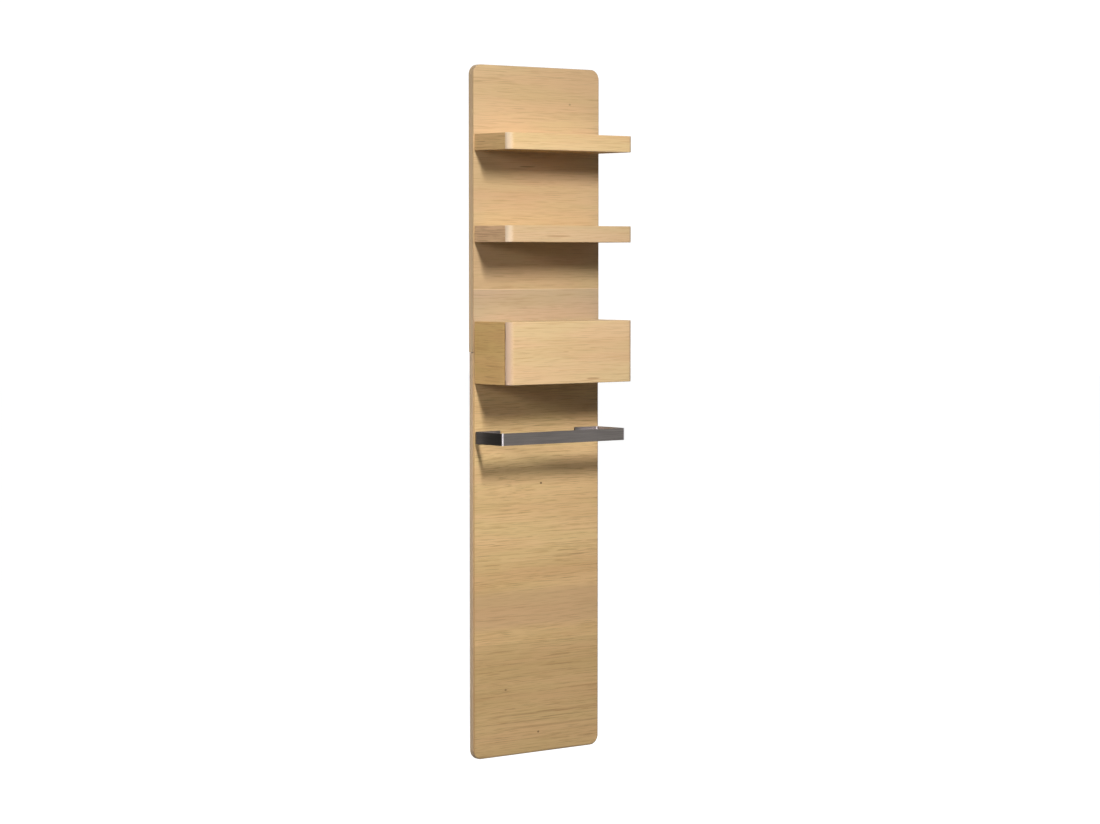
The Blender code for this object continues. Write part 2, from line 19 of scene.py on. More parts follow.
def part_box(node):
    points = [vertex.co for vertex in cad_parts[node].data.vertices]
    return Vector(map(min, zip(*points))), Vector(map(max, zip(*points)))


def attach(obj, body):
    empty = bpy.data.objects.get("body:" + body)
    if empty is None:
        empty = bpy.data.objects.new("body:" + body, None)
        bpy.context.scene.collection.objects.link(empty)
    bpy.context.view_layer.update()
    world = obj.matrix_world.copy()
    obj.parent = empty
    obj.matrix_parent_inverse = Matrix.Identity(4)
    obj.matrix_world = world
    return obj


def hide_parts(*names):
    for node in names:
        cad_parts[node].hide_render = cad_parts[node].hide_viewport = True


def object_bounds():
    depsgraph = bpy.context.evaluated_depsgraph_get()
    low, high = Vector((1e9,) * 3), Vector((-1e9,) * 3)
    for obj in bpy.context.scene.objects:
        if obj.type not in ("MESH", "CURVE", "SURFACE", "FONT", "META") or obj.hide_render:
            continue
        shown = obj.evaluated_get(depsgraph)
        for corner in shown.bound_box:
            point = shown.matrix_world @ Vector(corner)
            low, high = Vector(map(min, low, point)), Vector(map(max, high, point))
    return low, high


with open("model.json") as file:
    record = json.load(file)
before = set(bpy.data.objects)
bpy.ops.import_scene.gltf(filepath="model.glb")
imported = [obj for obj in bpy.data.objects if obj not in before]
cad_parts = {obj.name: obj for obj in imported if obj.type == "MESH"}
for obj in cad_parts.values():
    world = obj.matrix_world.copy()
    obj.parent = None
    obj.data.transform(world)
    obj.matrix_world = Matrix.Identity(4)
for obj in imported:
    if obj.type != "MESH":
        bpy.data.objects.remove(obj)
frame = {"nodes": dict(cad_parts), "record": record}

solid_low, solid_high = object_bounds()
print("solids:", len(frame["nodes"]), "from", tuple(solid_low), "to", tuple(solid_high))

# %% [markdown]
# ## The camera
# The photograph looks at the shelf from its left and from far away, a little above its middle. A long lens
# at a distance keeps the panel's sides nearly parallel. The camera's turn is given as a yaw from straight
# ahead and a small pitch down, and it is built as a matrix from its own right, up and back directions, so
# that no angle order can spoil it.

# %% Place the camera
VIEW_YAW = 0.68641
VIEW_PITCH = -0.05137
CAMERA_PLACE = (-4.7090, -5.8161, -0.3671)
CAMERA_LENS = 98.74
SENSOR_WIDTH = 36.0
VIEW_REACH = 100.0


def camera_turn(yaw, pitch):
    """Right, up and back directions of a camera that is turned by yaw and then tipped by pitch."""
    forward = Vector((math.sin(yaw) * math.cos(pitch), math.cos(yaw) * math.cos(pitch), math.sin(pitch)))
    right = Vector((math.cos(yaw), -math.sin(yaw), 0.0))
    up = right.cross(forward)
    return Matrix((right, up, -forward)).transposed()


camera_data = bpy.data.cameras.new("camera")
camera_data.sensor_width = SENSOR_WIDTH
camera_data.lens = CAMERA_LENS
camera_data.clip_end = VIEW_REACH
camera = bpy.data.objects.new("camera", camera_data)
camera.matrix_world = Matrix.Translation(CAMERA_PLACE) @ camera_turn(VIEW_YAW, VIEW_PITCH).to_4x4()
bpy.context.scene.collection.objects.link(camera)
bpy.context.scene.camera = camera
print("camera at", CAMERA_PLACE, "lens", CAMERA_LENS)

# %% [markdown]
# ## Node helpers
# A material is a small graph. A few helpers keep it readable: one adds a node and fills its settings and
# sockets by name, one starts an empty material, and one closes it with a shader. A value that is the same
# all over a surface is set on the shader's own socket, because an exported model keeps it only there.

# %% Helpers for nodes


def add_node(tree, kind, settings=None, **sockets):
    """Add a node. settings are its own properties, and sockets are input values or outputs to link, by the
    input's name or by its number, as at0 and at1."""
    node = tree.nodes.new(kind)
    for key, value in (settings or {}).items():
        setattr(node, key, value)
    for key, value in sockets.items():
        label = key.replace("_", " ")
        socket = node.inputs[int(key[2:])] if key.startswith("at") else node.inputs[label]
        if isinstance(value, bpy.types.NodeSocket):
            tree.links.new(value, socket)
        else:
            socket.default_value = value
    return node


def calc(tree, operation, first, second=0.0):
    """One step of arithmetic on two numbers or outputs."""
    return add_node(tree, "ShaderNodeMath", {"operation": operation}, at0=first, at1=second).outputs[0]


def vector_calc(tree, operation, first, second=(0.0, 0.0, 0.0)):
    """One step of arithmetic on two vectors. LENGTH gives a number, and the other steps a vector."""
    node = add_node(tree, "ShaderNodeVectorMath", {"operation": operation}, at0=first, at1=second)
    return node.outputs["Value" if operation == "LENGTH" else "Vector"]


def ramp(tree, value, low, high):
    """A smooth step: 0 at low, 1 at high."""
    settings = {"interpolation_type": "SMOOTHSTEP"}
    node = add_node(tree, "ShaderNodeMapRange", settings, Value=value, From_Min=low, From_Max=high)
    return node.outputs["Result"]


print("helpers:", add_node.__name__, calc.__name__, vector_calc.__name__, ramp.__name__)

# %% Helpers for colours
WHITE = (1.0, 1.0, 1.0)


def blend_colour(tree, share, first, second, mode="MIX"):
    """Blend two colours by a share from 0 to 1. The node's sockets for colours are its inputs 6 and 7 and
    its output 2."""
    node = add_node(tree, "ShaderNodeMix", {"data_type": "RGBA", "blend_type": mode, "clamp_factor": True})
    for place, value in ((0, share), (6, first), (7, second)):
        socket = node.inputs[place]
        if isinstance(value, bpy.types.NodeSocket):
            tree.links.new(value, socket)
        else:
            socket.default_value = value if place == 0 else (*value[:3], 1.0)
    return node.outputs[2]


def tinted(tree, colour, share, strength, tint):
    """Lay a tint over a colour, by a share from 0 to 1 times its strength."""
    return blend_colour(tree, calc(tree, "MULTIPLY", share, strength), colour, tint)


def srgb(red, green, blue):
    """Turn a colour of 0 to 255, as a screen shows it, into the linear values that shaders take."""
    values = np.array((red, green, blue)) / 255.0
    linear = np.where(values <= 0.04045, values / 12.92, ((values + 0.055) / 1.055) ** 2.4)
    return tuple(float(value) for value in linear)


def times(tone, tint):
    """A tone whose red, green and blue are multiplied by a tint's."""
    return tuple(float(value) for value in np.multiply(tone, tint))


print("half grey in linear light:", round(srgb(128, 128, 128)[0], 3))

# %% Helpers for materials


def new_material(name):
    """Make an empty material and return it with its tree."""
    material = bpy.data.materials.new(name)
    material.use_nodes = True
    material.node_tree.nodes.clear()
    return material, material.node_tree


def object_place(tree):
    """The point that is shaded, in metres on the object's own axes."""
    return add_node(tree, "ShaderNodeTexCoord").outputs["Object"]


def close_material(material, shader):
    """Send a shader to the material's surface."""
    output = material.node_tree.nodes.new("ShaderNodeOutputMaterial")
    material.node_tree.links.new(shader.outputs[0], output.inputs["Surface"])
    return material


def finish_surface(material, colour, roughness, relief=None, **sockets):
    """Close a material with one shader. relief is (height, strength, depth) of its bump, and sockets are
    more values for the shader's own sockets."""
    tree = material.node_tree
    shader = add_node(tree, "ShaderNodeBsdfPrincipled", Base_Color=colour, Roughness=roughness, **sockets)
    if relief:
        height, strength, depth = relief
        bump = add_node(tree, "ShaderNodeBump", Height=height, Strength=strength, Distance=depth)
        tree.links.new(bump.outputs[0], shader.inputs["Normal"])
    return close_material(material, shader)


helpers = (new_material, object_place, close_material, finish_surface)
print("material helpers:", ", ".join(helper.__name__ for helper in helpers))

# %% [markdown]
# ## Studio
# The shadows in the photograph tell where its lamp stood. Their left edges are crisp and their lower edges
# are soft, so the lamp was narrow and tall. Lines from the shelves' edges through the shadows' edges meet
# in front of the panel, to the left and above its top. A strip light stands there. It is tilted steeply
# down, because an area lamp is weaker to its side, and so the near top gets no more than its share.
#
# The box's deep shadow holds a second, fainter one. Its edge is a slanting line that starts at the box's
# lower left corner and falls a quarter as fast as it runs to the right, so a weak lamp with a narrow beam
# stands far to the left and higher than the shelf's top. The left sides are half as bright as the fronts,
# and that lamp gives them about half of it. Two more soft lamps stand behind the panel's plane, left and
# right, as light from a white wall does. All three are kept out of mirror reflections, because the steel
# in the photograph is dark.
#
# The background is white only for the camera and for reflections. To everything else it is a weak warm
# sky, which lifts the deep shadows a little. For the camera it is a little more than white. The clean-up of
# the picture's noise can leave a faint tint in the first rows of a sky that is exactly white, and the
# margin keeps that tint out of sight.

# %% Make the sky
SKY_STRENGTH = 0.022
SKY_TINT = (1.0, 0.93, 0.62)
WHITE_MARGIN = 0.08


def white_for_the_camera(tree, shine):
    """1 for rays that come from the camera, a mirror or a pane, and shine for the rest."""
    path = add_node(tree, "ShaderNodeLightPath")
    seen = calc(tree, "MAXIMUM", path.outputs["Is Camera Ray"], path.outputs["Is Glossy Ray"])
    seen = calc(tree, "MAXIMUM", seen, path.outputs["Is Transmission Ray"])
    hidden = calc(tree, "SUBTRACT", 1.0, seen)
    return calc(tree, "ADD", seen, calc(tree, "MULTIPLY", hidden, shine))


world = bpy.data.worlds.new("studio")
world.use_nodes = True
bpy.context.scene.world = world
bpy.context.scene.view_settings.view_transform = "Standard"
studio = world.node_tree
sky = studio.nodes["Background"]
sky_colour = blend_colour(studio, white_for_the_camera(studio, 0.0), SKY_TINT, WHITE)
studio.links.new(sky_colour, sky.inputs["Color"])
to_camera = add_node(studio, "ShaderNodeLightPath").outputs["Is Camera Ray"]
margin = calc(studio, "MULTIPLY", to_camera, WHITE_MARGIN)
sky_level = calc(studio, "ADD", white_for_the_camera(studio, SKY_STRENGTH), margin)
studio.links.new(sky_level, sky.inputs["Strength"])
print("sky:", SKY_STRENGTH, "on the shelf and", 1.0 + WHITE_MARGIN, "for the camera")

# %% Hang the lamps
KEY_PLACE = (-0.66, -2.18, 0.80)
KEY_AIM = (0.0, -0.05, -5.2)
KEY_SPREAD = 160
KEY_WIDTH = 0.16
KEY_HEIGHT = 0.78
KEY_POWER = 67.0
KEY_TINT = (1.0, 0.985, 0.95)
# The place, power, size and the spread in degrees of each lamp.
SIDE_LAMPS = {
    "grazing_lamp": ((-5.0, -1.8, 0.52), 7.7, 0.9, 46),
    "left_lamp": ((-3.2, 1.3, 0.4), 36.0, 2.0, 180),
    "right_lamp": ((3.2, 1.6, -0.4), 45.0, 2.0, 180),
}
SIDE_AIM = (0.0, 0.0, -1.2)


def aim_at(thing, place, target):
    """Put a thing in its place and point its own -Z at the target."""
    thing.location = place
    direction = Vector(target) - Vector(place)
    thing.rotation_mode = "QUATERNION"
    thing.rotation_quaternion = direction.to_track_quat("-Z", "Y")


def add_lamp(name, place, target, width, height, power, spread, tint=WHITE):
    """Add a rectangular lamp whose beam is as wide as spread says, in degrees."""
    lamp = bpy.data.lights.new(name, "AREA")
    lamp.shape = "RECTANGLE"
    lamp.size = width
    lamp.size_y = height
    lamp.energy = power
    lamp.spread = math.radians(spread)
    lamp.color = tint
    holder = bpy.data.objects.new(name, lamp)
    bpy.context.scene.collection.objects.link(holder)
    aim_at(holder, place, target)
    return holder


add_lamp("key_lamp", KEY_PLACE, KEY_AIM, KEY_WIDTH, KEY_HEIGHT, KEY_POWER, KEY_SPREAD, KEY_TINT)
for name, (place, power, size, spread) in SIDE_LAMPS.items():
    lamp = add_lamp(name, place, SIDE_AIM, size, size, power, spread)
    lamp.visible_glossy = False
print("lamps: one of", KEY_POWER, "W and", [power for _, power, _, _ in SIDE_LAMPS.values()], "W")

# %% [markdown]
# ## Floor
# The floor lies half a metre below the panel's foot, as under a shelf that hangs on a wall. It is matt and
# pale, and for the camera it glows, so that it reads as white but still takes a soft shadow near the shelf.
# The glow rises to full white with the distance from the shelf, where the lamps no longer reach.

# %% Add the floor
FLOOR_DROP = 0.50
FLOOR_SIZE = 60.0
FLOOR_TONE = (0.26, 0.26, 0.26, 1.0)
FLOOR_GLOW = 0.94
GLOW_START = 0.7
GLOW_FULL = 1.6


def stage_sheet(name, width, height):
    """Add a flat sheet around its own middle that isn't part of the object."""
    sheet = bpy.data.meshes.new(name)
    corners = np.array([(-1, -1), (1, -1), (1, 1), (-1, 1)]) * (width / 2, height / 2)
    points = np.column_stack((corners, np.zeros(len(corners))))
    sheet.from_pydata(points.tolist(), [], [range(len(points))])
    holder = bpy.data.objects.new(name, sheet)
    bpy.context.scene.collection.objects.link(holder)
    return holder


def floor_material():
    """Matt white that glows a little for the camera."""
    material, tree = new_material("floor_white")
    matt = add_node(tree, "ShaderNodeBsdfDiffuse", Color=FLOOR_TONE)
    far = ramp(tree, vector_calc(tree, "LENGTH", object_place(tree)), GLOW_START, GLOW_FULL)
    level = calc(tree, "ADD", calc(tree, "MULTIPLY", far, 1.0 - FLOOR_GLOW), FLOOR_GLOW)
    glow = calc(tree, "MULTIPLY", white_for_the_camera(tree, 0.0), level)
    light = add_node(tree, "ShaderNodeEmission", Strength=glow)
    both = add_node(tree, "ShaderNodeAddShader", at0=matt.outputs[0], at1=light.outputs[0])
    return close_material(material, both)


floor = stage_sheet("floor", FLOOR_SIZE, FLOOR_SIZE)
floor.location.z = solid_low.z - FLOOR_DROP
floor.data.materials.append(floor_material())
print("floor at", round(floor.location.z, 3))

# %% [markdown]
# ## Cards
# The bar's left arm is nearly black in the photograph, and grey close to the wall. A mirror on that arm
# would look back and to the left, so a tall dark card stands there, out of the camera's sight, and a pale
# strip stands close to the panel's edge. Photographers use such cards to give metal its dark side.

# %% Stand the cards
CARD_TINT = (1.0, 0.97, 0.95, 1.0)
# The place, size and tone of each card.
CARDS = {
    "dark_card": ((-0.761, -0.017, -0.85), (1.6, 3.4), 0.13),
    "pale_card": ((-0.2165, 0.006, -0.81), (0.030, 0.30), 0.42),
}


def card_material(name, tone):
    """A card that is as bright as its tone says."""
    material, tree = new_material(name)
    return close_material(material, add_node(tree, "ShaderNodeEmission", Color=CARD_TINT, Strength=tone))


mirrored = Vector((-math.sin(VIEW_YAW), math.cos(VIEW_YAW), 0.0))
for name, (place, size, tone) in CARDS.items():
    card = stage_sheet(name, *size)
    aim_at(card, place, Vector(place) - mirrored)
    card.data.materials.append(card_material(f"{name}_tone", tone))
    card.visible_camera = False
    card.visible_diffuse = False
    card.visible_shadow = False
print("cards:", list(CARDS))

# %% [markdown]
# ## Surfaces from grids
# Every new piece is a grid of points worked out with numpy. One direction of the grid runs round the piece
# and the other runs across it. The helper below joins neighbouring points with four-sided faces, closes the
# two open ends with a flat face each, and turns the faces outwards by the sign of the enclosed volume.

# %% Helpers for meshes
SMOOTH_LIMIT = math.radians(35)


def grid_faces(rows, columns):
    """Four-sided faces of a grid that is closed along its columns."""
    row, column = np.meshgrid(np.arange(rows - 1), np.arange(columns), indexing="ij")
    after = (column + 1) % columns
    faces = np.stack((row * columns + column, row * columns + after,
                      (row + 1) * columns + after, (row + 1) * columns + column), axis=-1)
    return faces.reshape(-1, 4)


def signed_volume(points, faces, start, end):
    """Six times the enclosed volume, positive if the faces look outwards: the sum over all triangles of
    the first corner times the cross product of the other two. The end rings are fans of triangles."""
    a, b, c, d = (points[faces[:, corner]] for corner in range(4))
    total = np.sum(a * np.cross(b, c)) + np.sum(a * np.cross(c, d))
    for ring, sign in ((points[start], -1), (points[end], 1)):
        total += sign * np.sum(ring[0] * np.cross(ring[1:-1], ring[2:]))
    return float(total)


def closed_mesh(name, grid):
    """Make a mesh of a grid of rings: side faces between rings and a flat face over each end."""
    rings, around = grid.shape[:2]
    points = grid.reshape(-1, 3)
    faces = grid_faces(rings, around)
    start = list(range(around))
    end = list(range((rings - 1) * around, rings * around))
    outward = signed_volume(points - points.mean(axis=0), faces, start, end) > 0
    loops = [start[::-1], end]
    quads = faces.tolist()
    if not outward:
        quads = faces[:, ::-1].tolist()
        loops = [start, end[::-1]]
    mesh = bpy.data.meshes.new(name)
    mesh.from_pydata(points.tolist(), [], quads + loops)
    mesh.shade_smooth()
    mesh.set_sharp_from_angle(angle=SMOOTH_LIMIT)
    return mesh


print("faces between three rings of four points:", len(grid_faces(3, 4)))

# %% Add a piece


def add_piece(name, mesh, body, material, replaced=()):
    """Add a finished piece at the origin, let it ride on its body and stand for its solids."""
    piece = bpy.data.objects.new(name, mesh)
    bpy.context.scene.collection.objects.link(piece)
    mesh.materials.clear()
    mesh.materials.append(material)
    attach(piece, body)
    if replaced:
        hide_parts(*replaced)
    return piece


BODY_OF = {node: body for body, nodes in frame["record"]["behaviour"]["bodies"].items() for node in nodes}

# %% [markdown]
# ## A board with round edges
# A sawn board is a block, but a sanded one has no sharp arris, and its round corners catch the light. One
# function makes them all. It draws a rounded rectangle, and carries it up the board's thickness while it
# shrinks it near both faces by a quarter circle. Two extra rings beside each quarter circle hold the flat
# faces flat when the mesh is shaded smooth.

# %% Rings of a board
ARC_STEPS = 10
ARRIS_STEPS = 4
FLAT_HOLD = 0.0012
ROUND_LEAST = 0.00004


def around_sides(values):
    """One value for all four sides, or four of them, counted from the right the way round."""
    return np.broadcast_to(np.asarray(values, float), (4,))


def ring_columns(half, radii, inset, rise, level, steps, hold):
    """Rounded rectangles, one for each ring. Side k faces k quarter turns from the right. Its corner with
    the next side is a quarter ellipse: half length, less inset, less radius, plus radius times cosine or
    sine. One more point lies on the flat before and after it, no further off than a third of the straight
    run between two corners. The rise goes from one side's to the next's."""
    phi = np.concatenate(([0.0], np.linspace(0.0, math.pi / 2, steps + 1), [math.pi / 2]))
    share = phi / (math.pi / 2)
    behind = np.roll(inset, -1, axis=1)
    near_round = np.maximum(radii - inset, ROUND_LEAST)
    far_round = np.maximum(radii - behind, ROUND_LEAST)
    length = 2 * np.array((half[1], half[0], half[1], half[0]))
    run = length - (behind + far_round) - np.roll(inset + near_round, 1, axis=1)
    kept = np.minimum(hold, run / 3)
    flat = []
    height = []
    for side in range(4):
        other = (side + 1) % 4
        near = inset[:, side, None] + near_round[:, side, None]
        far = inset[:, other, None] + far_round[:, side, None]
        out_near = half[side % 2] - near + near_round[:, side, None] * np.cos(phi)
        out_far = half[other % 2] - far + far_round[:, side, None] * np.sin(phi)
        out_near[:, -1] -= kept[:, other]
        out_far[:, 0] -= kept[:, side]
        turn = math.pi / 2 * np.array((side, other))
        direction = np.round(np.column_stack((np.cos(turn), np.sin(turn))))
        flat.append(out_near[..., None] * direction[0] + out_far[..., None] * direction[1])
        climb = rise[:, other, None] - rise[:, side, None]
        height.append(rise[:, side, None] + climb * share + level[:, None])
    return np.concatenate(flat, axis=1), np.concatenate(height, axis=1)


print("points round a board:", 4 * (ARC_STEPS + 3))

# %% Shape a board
AXES = {"X": (1, 2, 0), "Y": (0, 2, 1), "Z": (0, 1, 2)}


def face_rings(arris):
    """Inset and rise of the rings near one face, for the arris of each side: (1 - sine) of it inwards and
    (1 - cosine) of it upwards over a quarter turn, with a ring on the flat before and after."""
    turn = np.linspace(0.0, math.pi / 2, ARRIS_STEPS + 1)[:, None]
    inset = np.vstack((arris + FLAT_HOLD, arris * (1 - np.sin(turn)), np.zeros(4)))
    rise = np.vstack((np.zeros(4), arris * (1 - np.cos(turn)), arris))
    extra = np.zeros(len(inset))
    extra[-1] = FLAT_HOLD
    return inset, rise, extra


def board_grid(low, high, axis, radii, arris):
    """Rings of a board between two corners, whose thickness runs along axis."""
    first, second, through = AXES[axis]
    low = np.array(low)
    high = np.array(high)
    half = (high - low) / 2
    centre = (high + low) / 2
    inset, rise, extra = face_rings(around_sides(arris))
    sides = (half[first], half[second])
    flat, height = ring_columns(sides, around_sides(radii), inset, rise, extra, ARC_STEPS, FLAT_HOLD)
    grid = np.zeros((2 * len(flat), flat.shape[1], 3))
    grid[..., first] = np.concatenate((flat, flat[::-1]))[..., 0] + centre[first]
    grid[..., second] = np.concatenate((flat, flat[::-1]))[..., 1] + centre[second]
    levels = np.concatenate((height - half[through], half[through] - height[::-1]))
    grid[..., through] = levels + centre[through]
    return grid


print("board rings at each face:", ARRIS_STEPS + 3)

# %% [markdown]
# ## Oak
# Oak grain is the same noise at several sizes, pulled out along the fibre. Broad bands give the tone of a
# veneer leaf, soft patches lean to rose or to olive, and narrower streaks give the growth rings. Over them
# lie fine dark lines, open pores and pale flecks. Very long noise is straight but endless, so a second
# noise chops the lines and pores into dashes. All of it is three-dimensional, and so the figure runs on
# over an edge as it does in solid wood. A slow wobble bends the lines a little, as no tree is straight.
#
# Knots and mineral streaks are soft ellipsoids at chosen places. Where a board ends, its end grain has
# another tone, and a share that rises with the distance from the middle brings it in.

# %% Noise and soft spots
SPOT_CORE = 0.55


def pulled_noise(tree, place, cells, detail, roughness=0.5):
    """Noise with cells per metre on X, Y and Z."""
    pulled = add_node(tree, "ShaderNodeMapping", Vector=place, Scale=cells).outputs[0]
    noise = add_node(tree, "ShaderNodeTexNoise", Vector=pulled, Scale=1.0, Detail=detail,
                     Roughness=roughness)
    return noise.outputs["Fac"]


def spot(tree, place, centre, reach):
    """1 inside an ellipsoid around centre and 0 outside it, with a soft rim."""
    moved = vector_calc(tree, "SUBTRACT", place, centre)
    scaled = vector_calc(tree, "MULTIPLY", moved, tuple(1.0 / value for value in reach))
    return calc(tree, "SUBTRACT", 1.0, ramp(tree, vector_calc(tree, "LENGTH", scaled), SPOT_CORE, 1.0))


def add_spots(tree, place, colour, spots):
    """Lay soft spots of (centre, reach, colour, strength) over a colour."""
    for centre, reach, tint, strength in spots:
        colour = tinted(tree, colour, spot(tree, place, centre, reach), strength, tint)
    return colour


print("a spot is full up to", SPOT_CORE, "of its reach")

# %% Fibre and rim
GRAIN_TURN = {"X": (0.0, 0.0, 0.0), "Y": (0.0, 0.0, -math.pi / 2), "Z": (0.0, math.pi / 2, 0.0)}
WOBBLE_CELLS = (1.6, 4.0, 4.0)
WOBBLE_REACH = 0.016


def fibre_place(tree, place, grain, seed):
    """The place turned so that the fibre runs on X, moved by the seed, and bent by a slow noise that is
    added over the fibre."""
    turned = add_node(tree, "ShaderNodeMapping", Vector=place, Location=seed, Rotation=GRAIN_TURN[grain])
    turned = turned.outputs[0]
    bend = pulled_noise(tree, turned, WOBBLE_CELLS, detail=1.0, roughness=0.55)
    bend = calc(tree, "MULTIPLY", calc(tree, "SUBTRACT", bend, 0.5), WOBBLE_REACH)
    lift = add_node(tree, "ShaderNodeCombineXYZ", X=0.0, Y=bend, Z=bend)
    return vector_calc(tree, "ADD", turned, lift.outputs[0])


def outline_reach(tree, parts, half, middle, corner):
    """How far a point lies from the middle of a rounded rectangle on X and Z, counted so that its outline
    is at the half width all the way round. Inside the corner square that is the distance from the corner's
    centre. Elsewhere it is the larger of the two distances from the sides."""
    across = calc(tree, "SUBTRACT", calc(tree, "ABSOLUTE", parts["X"]), half[0] - corner)
    upright = calc(tree, "ABSOLUTE", calc(tree, "SUBTRACT", parts["Z"], middle))
    upright = calc(tree, "SUBTRACT", upright, half[1] - corner)
    squares = [calc(tree, "POWER", calc(tree, "MAXIMUM", value, 0.0), 2.0) for value in (across, upright)]
    outside = calc(tree, "SQRT", calc(tree, "ADD", *squares))
    inside = calc(tree, "MINIMUM", calc(tree, "MAXIMUM", across, upright), 0.0)
    return calc(tree, "ADD", calc(tree, "ADD", outside, inside), half[0] - corner)


print("the fibre wobbles by", WOBBLE_REACH / 2, "m at most")

# %% Layers of the oak's figure
# The cells per metre along and across the fibre, detail, roughness, and the noise where each layer starts
# and where it is full.
FIGURE = {
    "broad": (1.0, 14.0, 2.0, 0.55, 0.34, 0.68),
    "rings": (1.6, 270.0, 3.0, 0.60, 0.44, 0.74),
    "patches": (3.0, 22.0, 2.0, 0.55, 0.36, 0.64),
    "chops": (18.0, 420.0, 1.0, 0.55, 0.38, 0.56),
    "lines": (3.0, 520.0, 2.0, 0.60, 0.48, 0.62),
    "flecks": (20.0, 420.0, 1.0, 0.55, 0.57, 0.68),
    "pores": (7.0, 900.0, 2.0, 0.55, 0.54, 0.66),
}
FIGURE_SHARE = {"broad": 0.32, "rings": 0.17, "lines": 0.52, "flecks": 0.30, "pores": 0.38}


def oak_layer(tree, fibre, name):
    """One layer of the figure, from 0 to 1."""
    along, across, detail, roughness, low, high = FIGURE[name]
    return ramp(tree, pulled_noise(tree, fibre, (along, across, across), detail, roughness), low, high)


print("layers:", list(FIGURE))

# %% Make the oak
LEAF_BACK = -0.009
ROSE_LEAN = (1.025, 0.99, 1.0)
OLIVE_LEAN = (0.98, 1.0, 0.96)
PORE_SHADE = 0.45
LINE_SINK = -0.35
PORE_SINK = -0.65
LINE_MATT = 0.10
OAK_RELIEF = (0.22, 0.0004)


def oak(name, light, dark, grain, seed, contrast, spots=(), leaves=(), ends=None, outline=None, marks=(),
        fine=1.0, roughness=0.52, shine=0.32):
    """Oiled oak. light and dark are its two tones, grain is the axis that the fibre follows, and seed moves
    the pattern. contrast is the strength of the figure, and fine that of its lines, flecks and pores alone.
    leaves are (height, tint) of the front veneer from the top down, and ends is (distance from the middle
    where end grain starts, where it is full, tint, strength). outline is (half sizes, middle height,
    corner) of a rounded board whose whole rim has that tint. Spots lie under the end grain, and marks
    over it."""
    material, tree = new_material(name)
    place = object_place(tree)
    fibre = fibre_place(tree, place, grain, seed)
    layers = {figure: oak_layer(tree, fibre, figure) for figure in FIGURE}
    line = calc(tree, "MULTIPLY", layers["lines"], layers["chops"])
    pore = calc(tree, "MULTIPLY", layers["pores"], layers["chops"])

    colour = tinted(tree, light, layers["broad"], FIGURE_SHARE["broad"] * contrast, dark)
    colour = tinted(tree, colour, layers["rings"], FIGURE_SHARE["rings"] * contrast, dark)
    rosy = blend_colour(tree, 1.0, colour, ROSE_LEAN, "MULTIPLY")
    olive = blend_colour(tree, 1.0, colour, OLIVE_LEAN, "MULTIPLY")
    colour = blend_colour(tree, layers["patches"], rosy, olive)
    crisp = contrast * fine
    colour = tinted(tree, colour, line, FIGURE_SHARE["lines"] * crisp, dark)
    colour = tinted(tree, colour, layers["flecks"], FIGURE_SHARE["flecks"] * crisp, light)
    deep = tuple(value * PORE_SHADE for value in dark)
    colour = tinted(tree, colour, pore, FIGURE_SHARE["pores"] * crisp, deep)

    parts = add_node(tree, "ShaderNodeSeparateXYZ", Vector=place).outputs
    front = calc(tree, "LESS_THAN", parts["Y"], LEAF_BACK)
    for height, tint in leaves:
        below = calc(tree, "MULTIPLY", front, calc(tree, "LESS_THAN", parts["Z"], height))
        colour = blend_colour(tree, below, colour, blend_colour(tree, 1.0, colour, tint, "MULTIPLY"))
    colour = add_spots(tree, place, colour, spots)
    if ends:
        start, full, tint, strength = ends
        far = outline_reach(tree, parts, *outline) if outline else calc(tree, "ABSOLUTE", parts["X"])
        colour = tinted(tree, colour, ramp(tree, far, start, full), strength, tint)
    colour = add_spots(tree, place, colour, marks)

    low_lines = calc(tree, "MULTIPLY", line, LINE_SINK)
    height = calc(tree, "ADD", low_lines, calc(tree, "MULTIPLY", pore, PORE_SINK))
    gloss = calc(tree, "ADD", calc(tree, "MULTIPLY", line, LINE_MATT), roughness)
    return finish_surface(material, colour, gloss, (height, *OAK_RELIEF), Specular_IOR_Level=shine)


print("the oak's bump is", OAK_RELIEF[1], "m deep at full strength")

# %% [markdown]
# ## The panel
# The panel is two veneered boards that meet behind the box. Its fibre lies level. A veneer joint shows as
# a fine pale line between the lower shelf and the box, with a pinker leaf below it, and each length has a
# tone of its own. Four pin knots show on the front. A greyer strip edges the whole rim, round corners and
# all, and a brown line follows the upright arrises in front of it.
#
# The outer corners are quarter circles. The upper length's arrises are finer than the lower's. At the seam
# both are rolled by the same two millimetres, and the seam's dark line lies between them.

# %% Tones and marks of the panel
PANEL_LIGHT = srgb(228, 197, 153)
PANEL_DARK = srgb(188, 150, 106)
LOWER_TINT = (1.010, 0.985, 0.875)
PANEL_CONTRAST = {"upper": 0.58, "lower": 0.95}
PANEL_FINE = 1.18
KNOT_TONE = srgb(92, 62, 36)
KNOT_REACH = (0.0042, 0.004, 0.0032)
# The X, Z and strength of each knot.
KNOTS = ((0.0124, -0.9279, 0.85), (-0.1002, -1.4352, 0.55), (0.0034, -1.5489, 0.70), (0.1051, 0.0108, 0.35))
LEAF_JOINT = -0.4467
# The height of each veneer joint from the top down, and the tint of the leaf below it.
UPPER_LEAVES = ((-0.09, (0.91, 0.90, 0.90)), (-0.31, (0.87, 0.88, 0.87)), (LEAF_JOINT, (0.97, 1.02, 1.19)))
LOWER_LEAVES = ((-1.1188, (0.96, 0.94, 0.93)), (-1.3213, (0.885, 0.875, 0.86)))
PALE_LINE = srgb(240, 214, 178)
BAND_TONE = srgb(196, 160, 124)
BROWN_TONE = srgb(150, 112, 74)

panel_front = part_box("upper_panel")[0].y
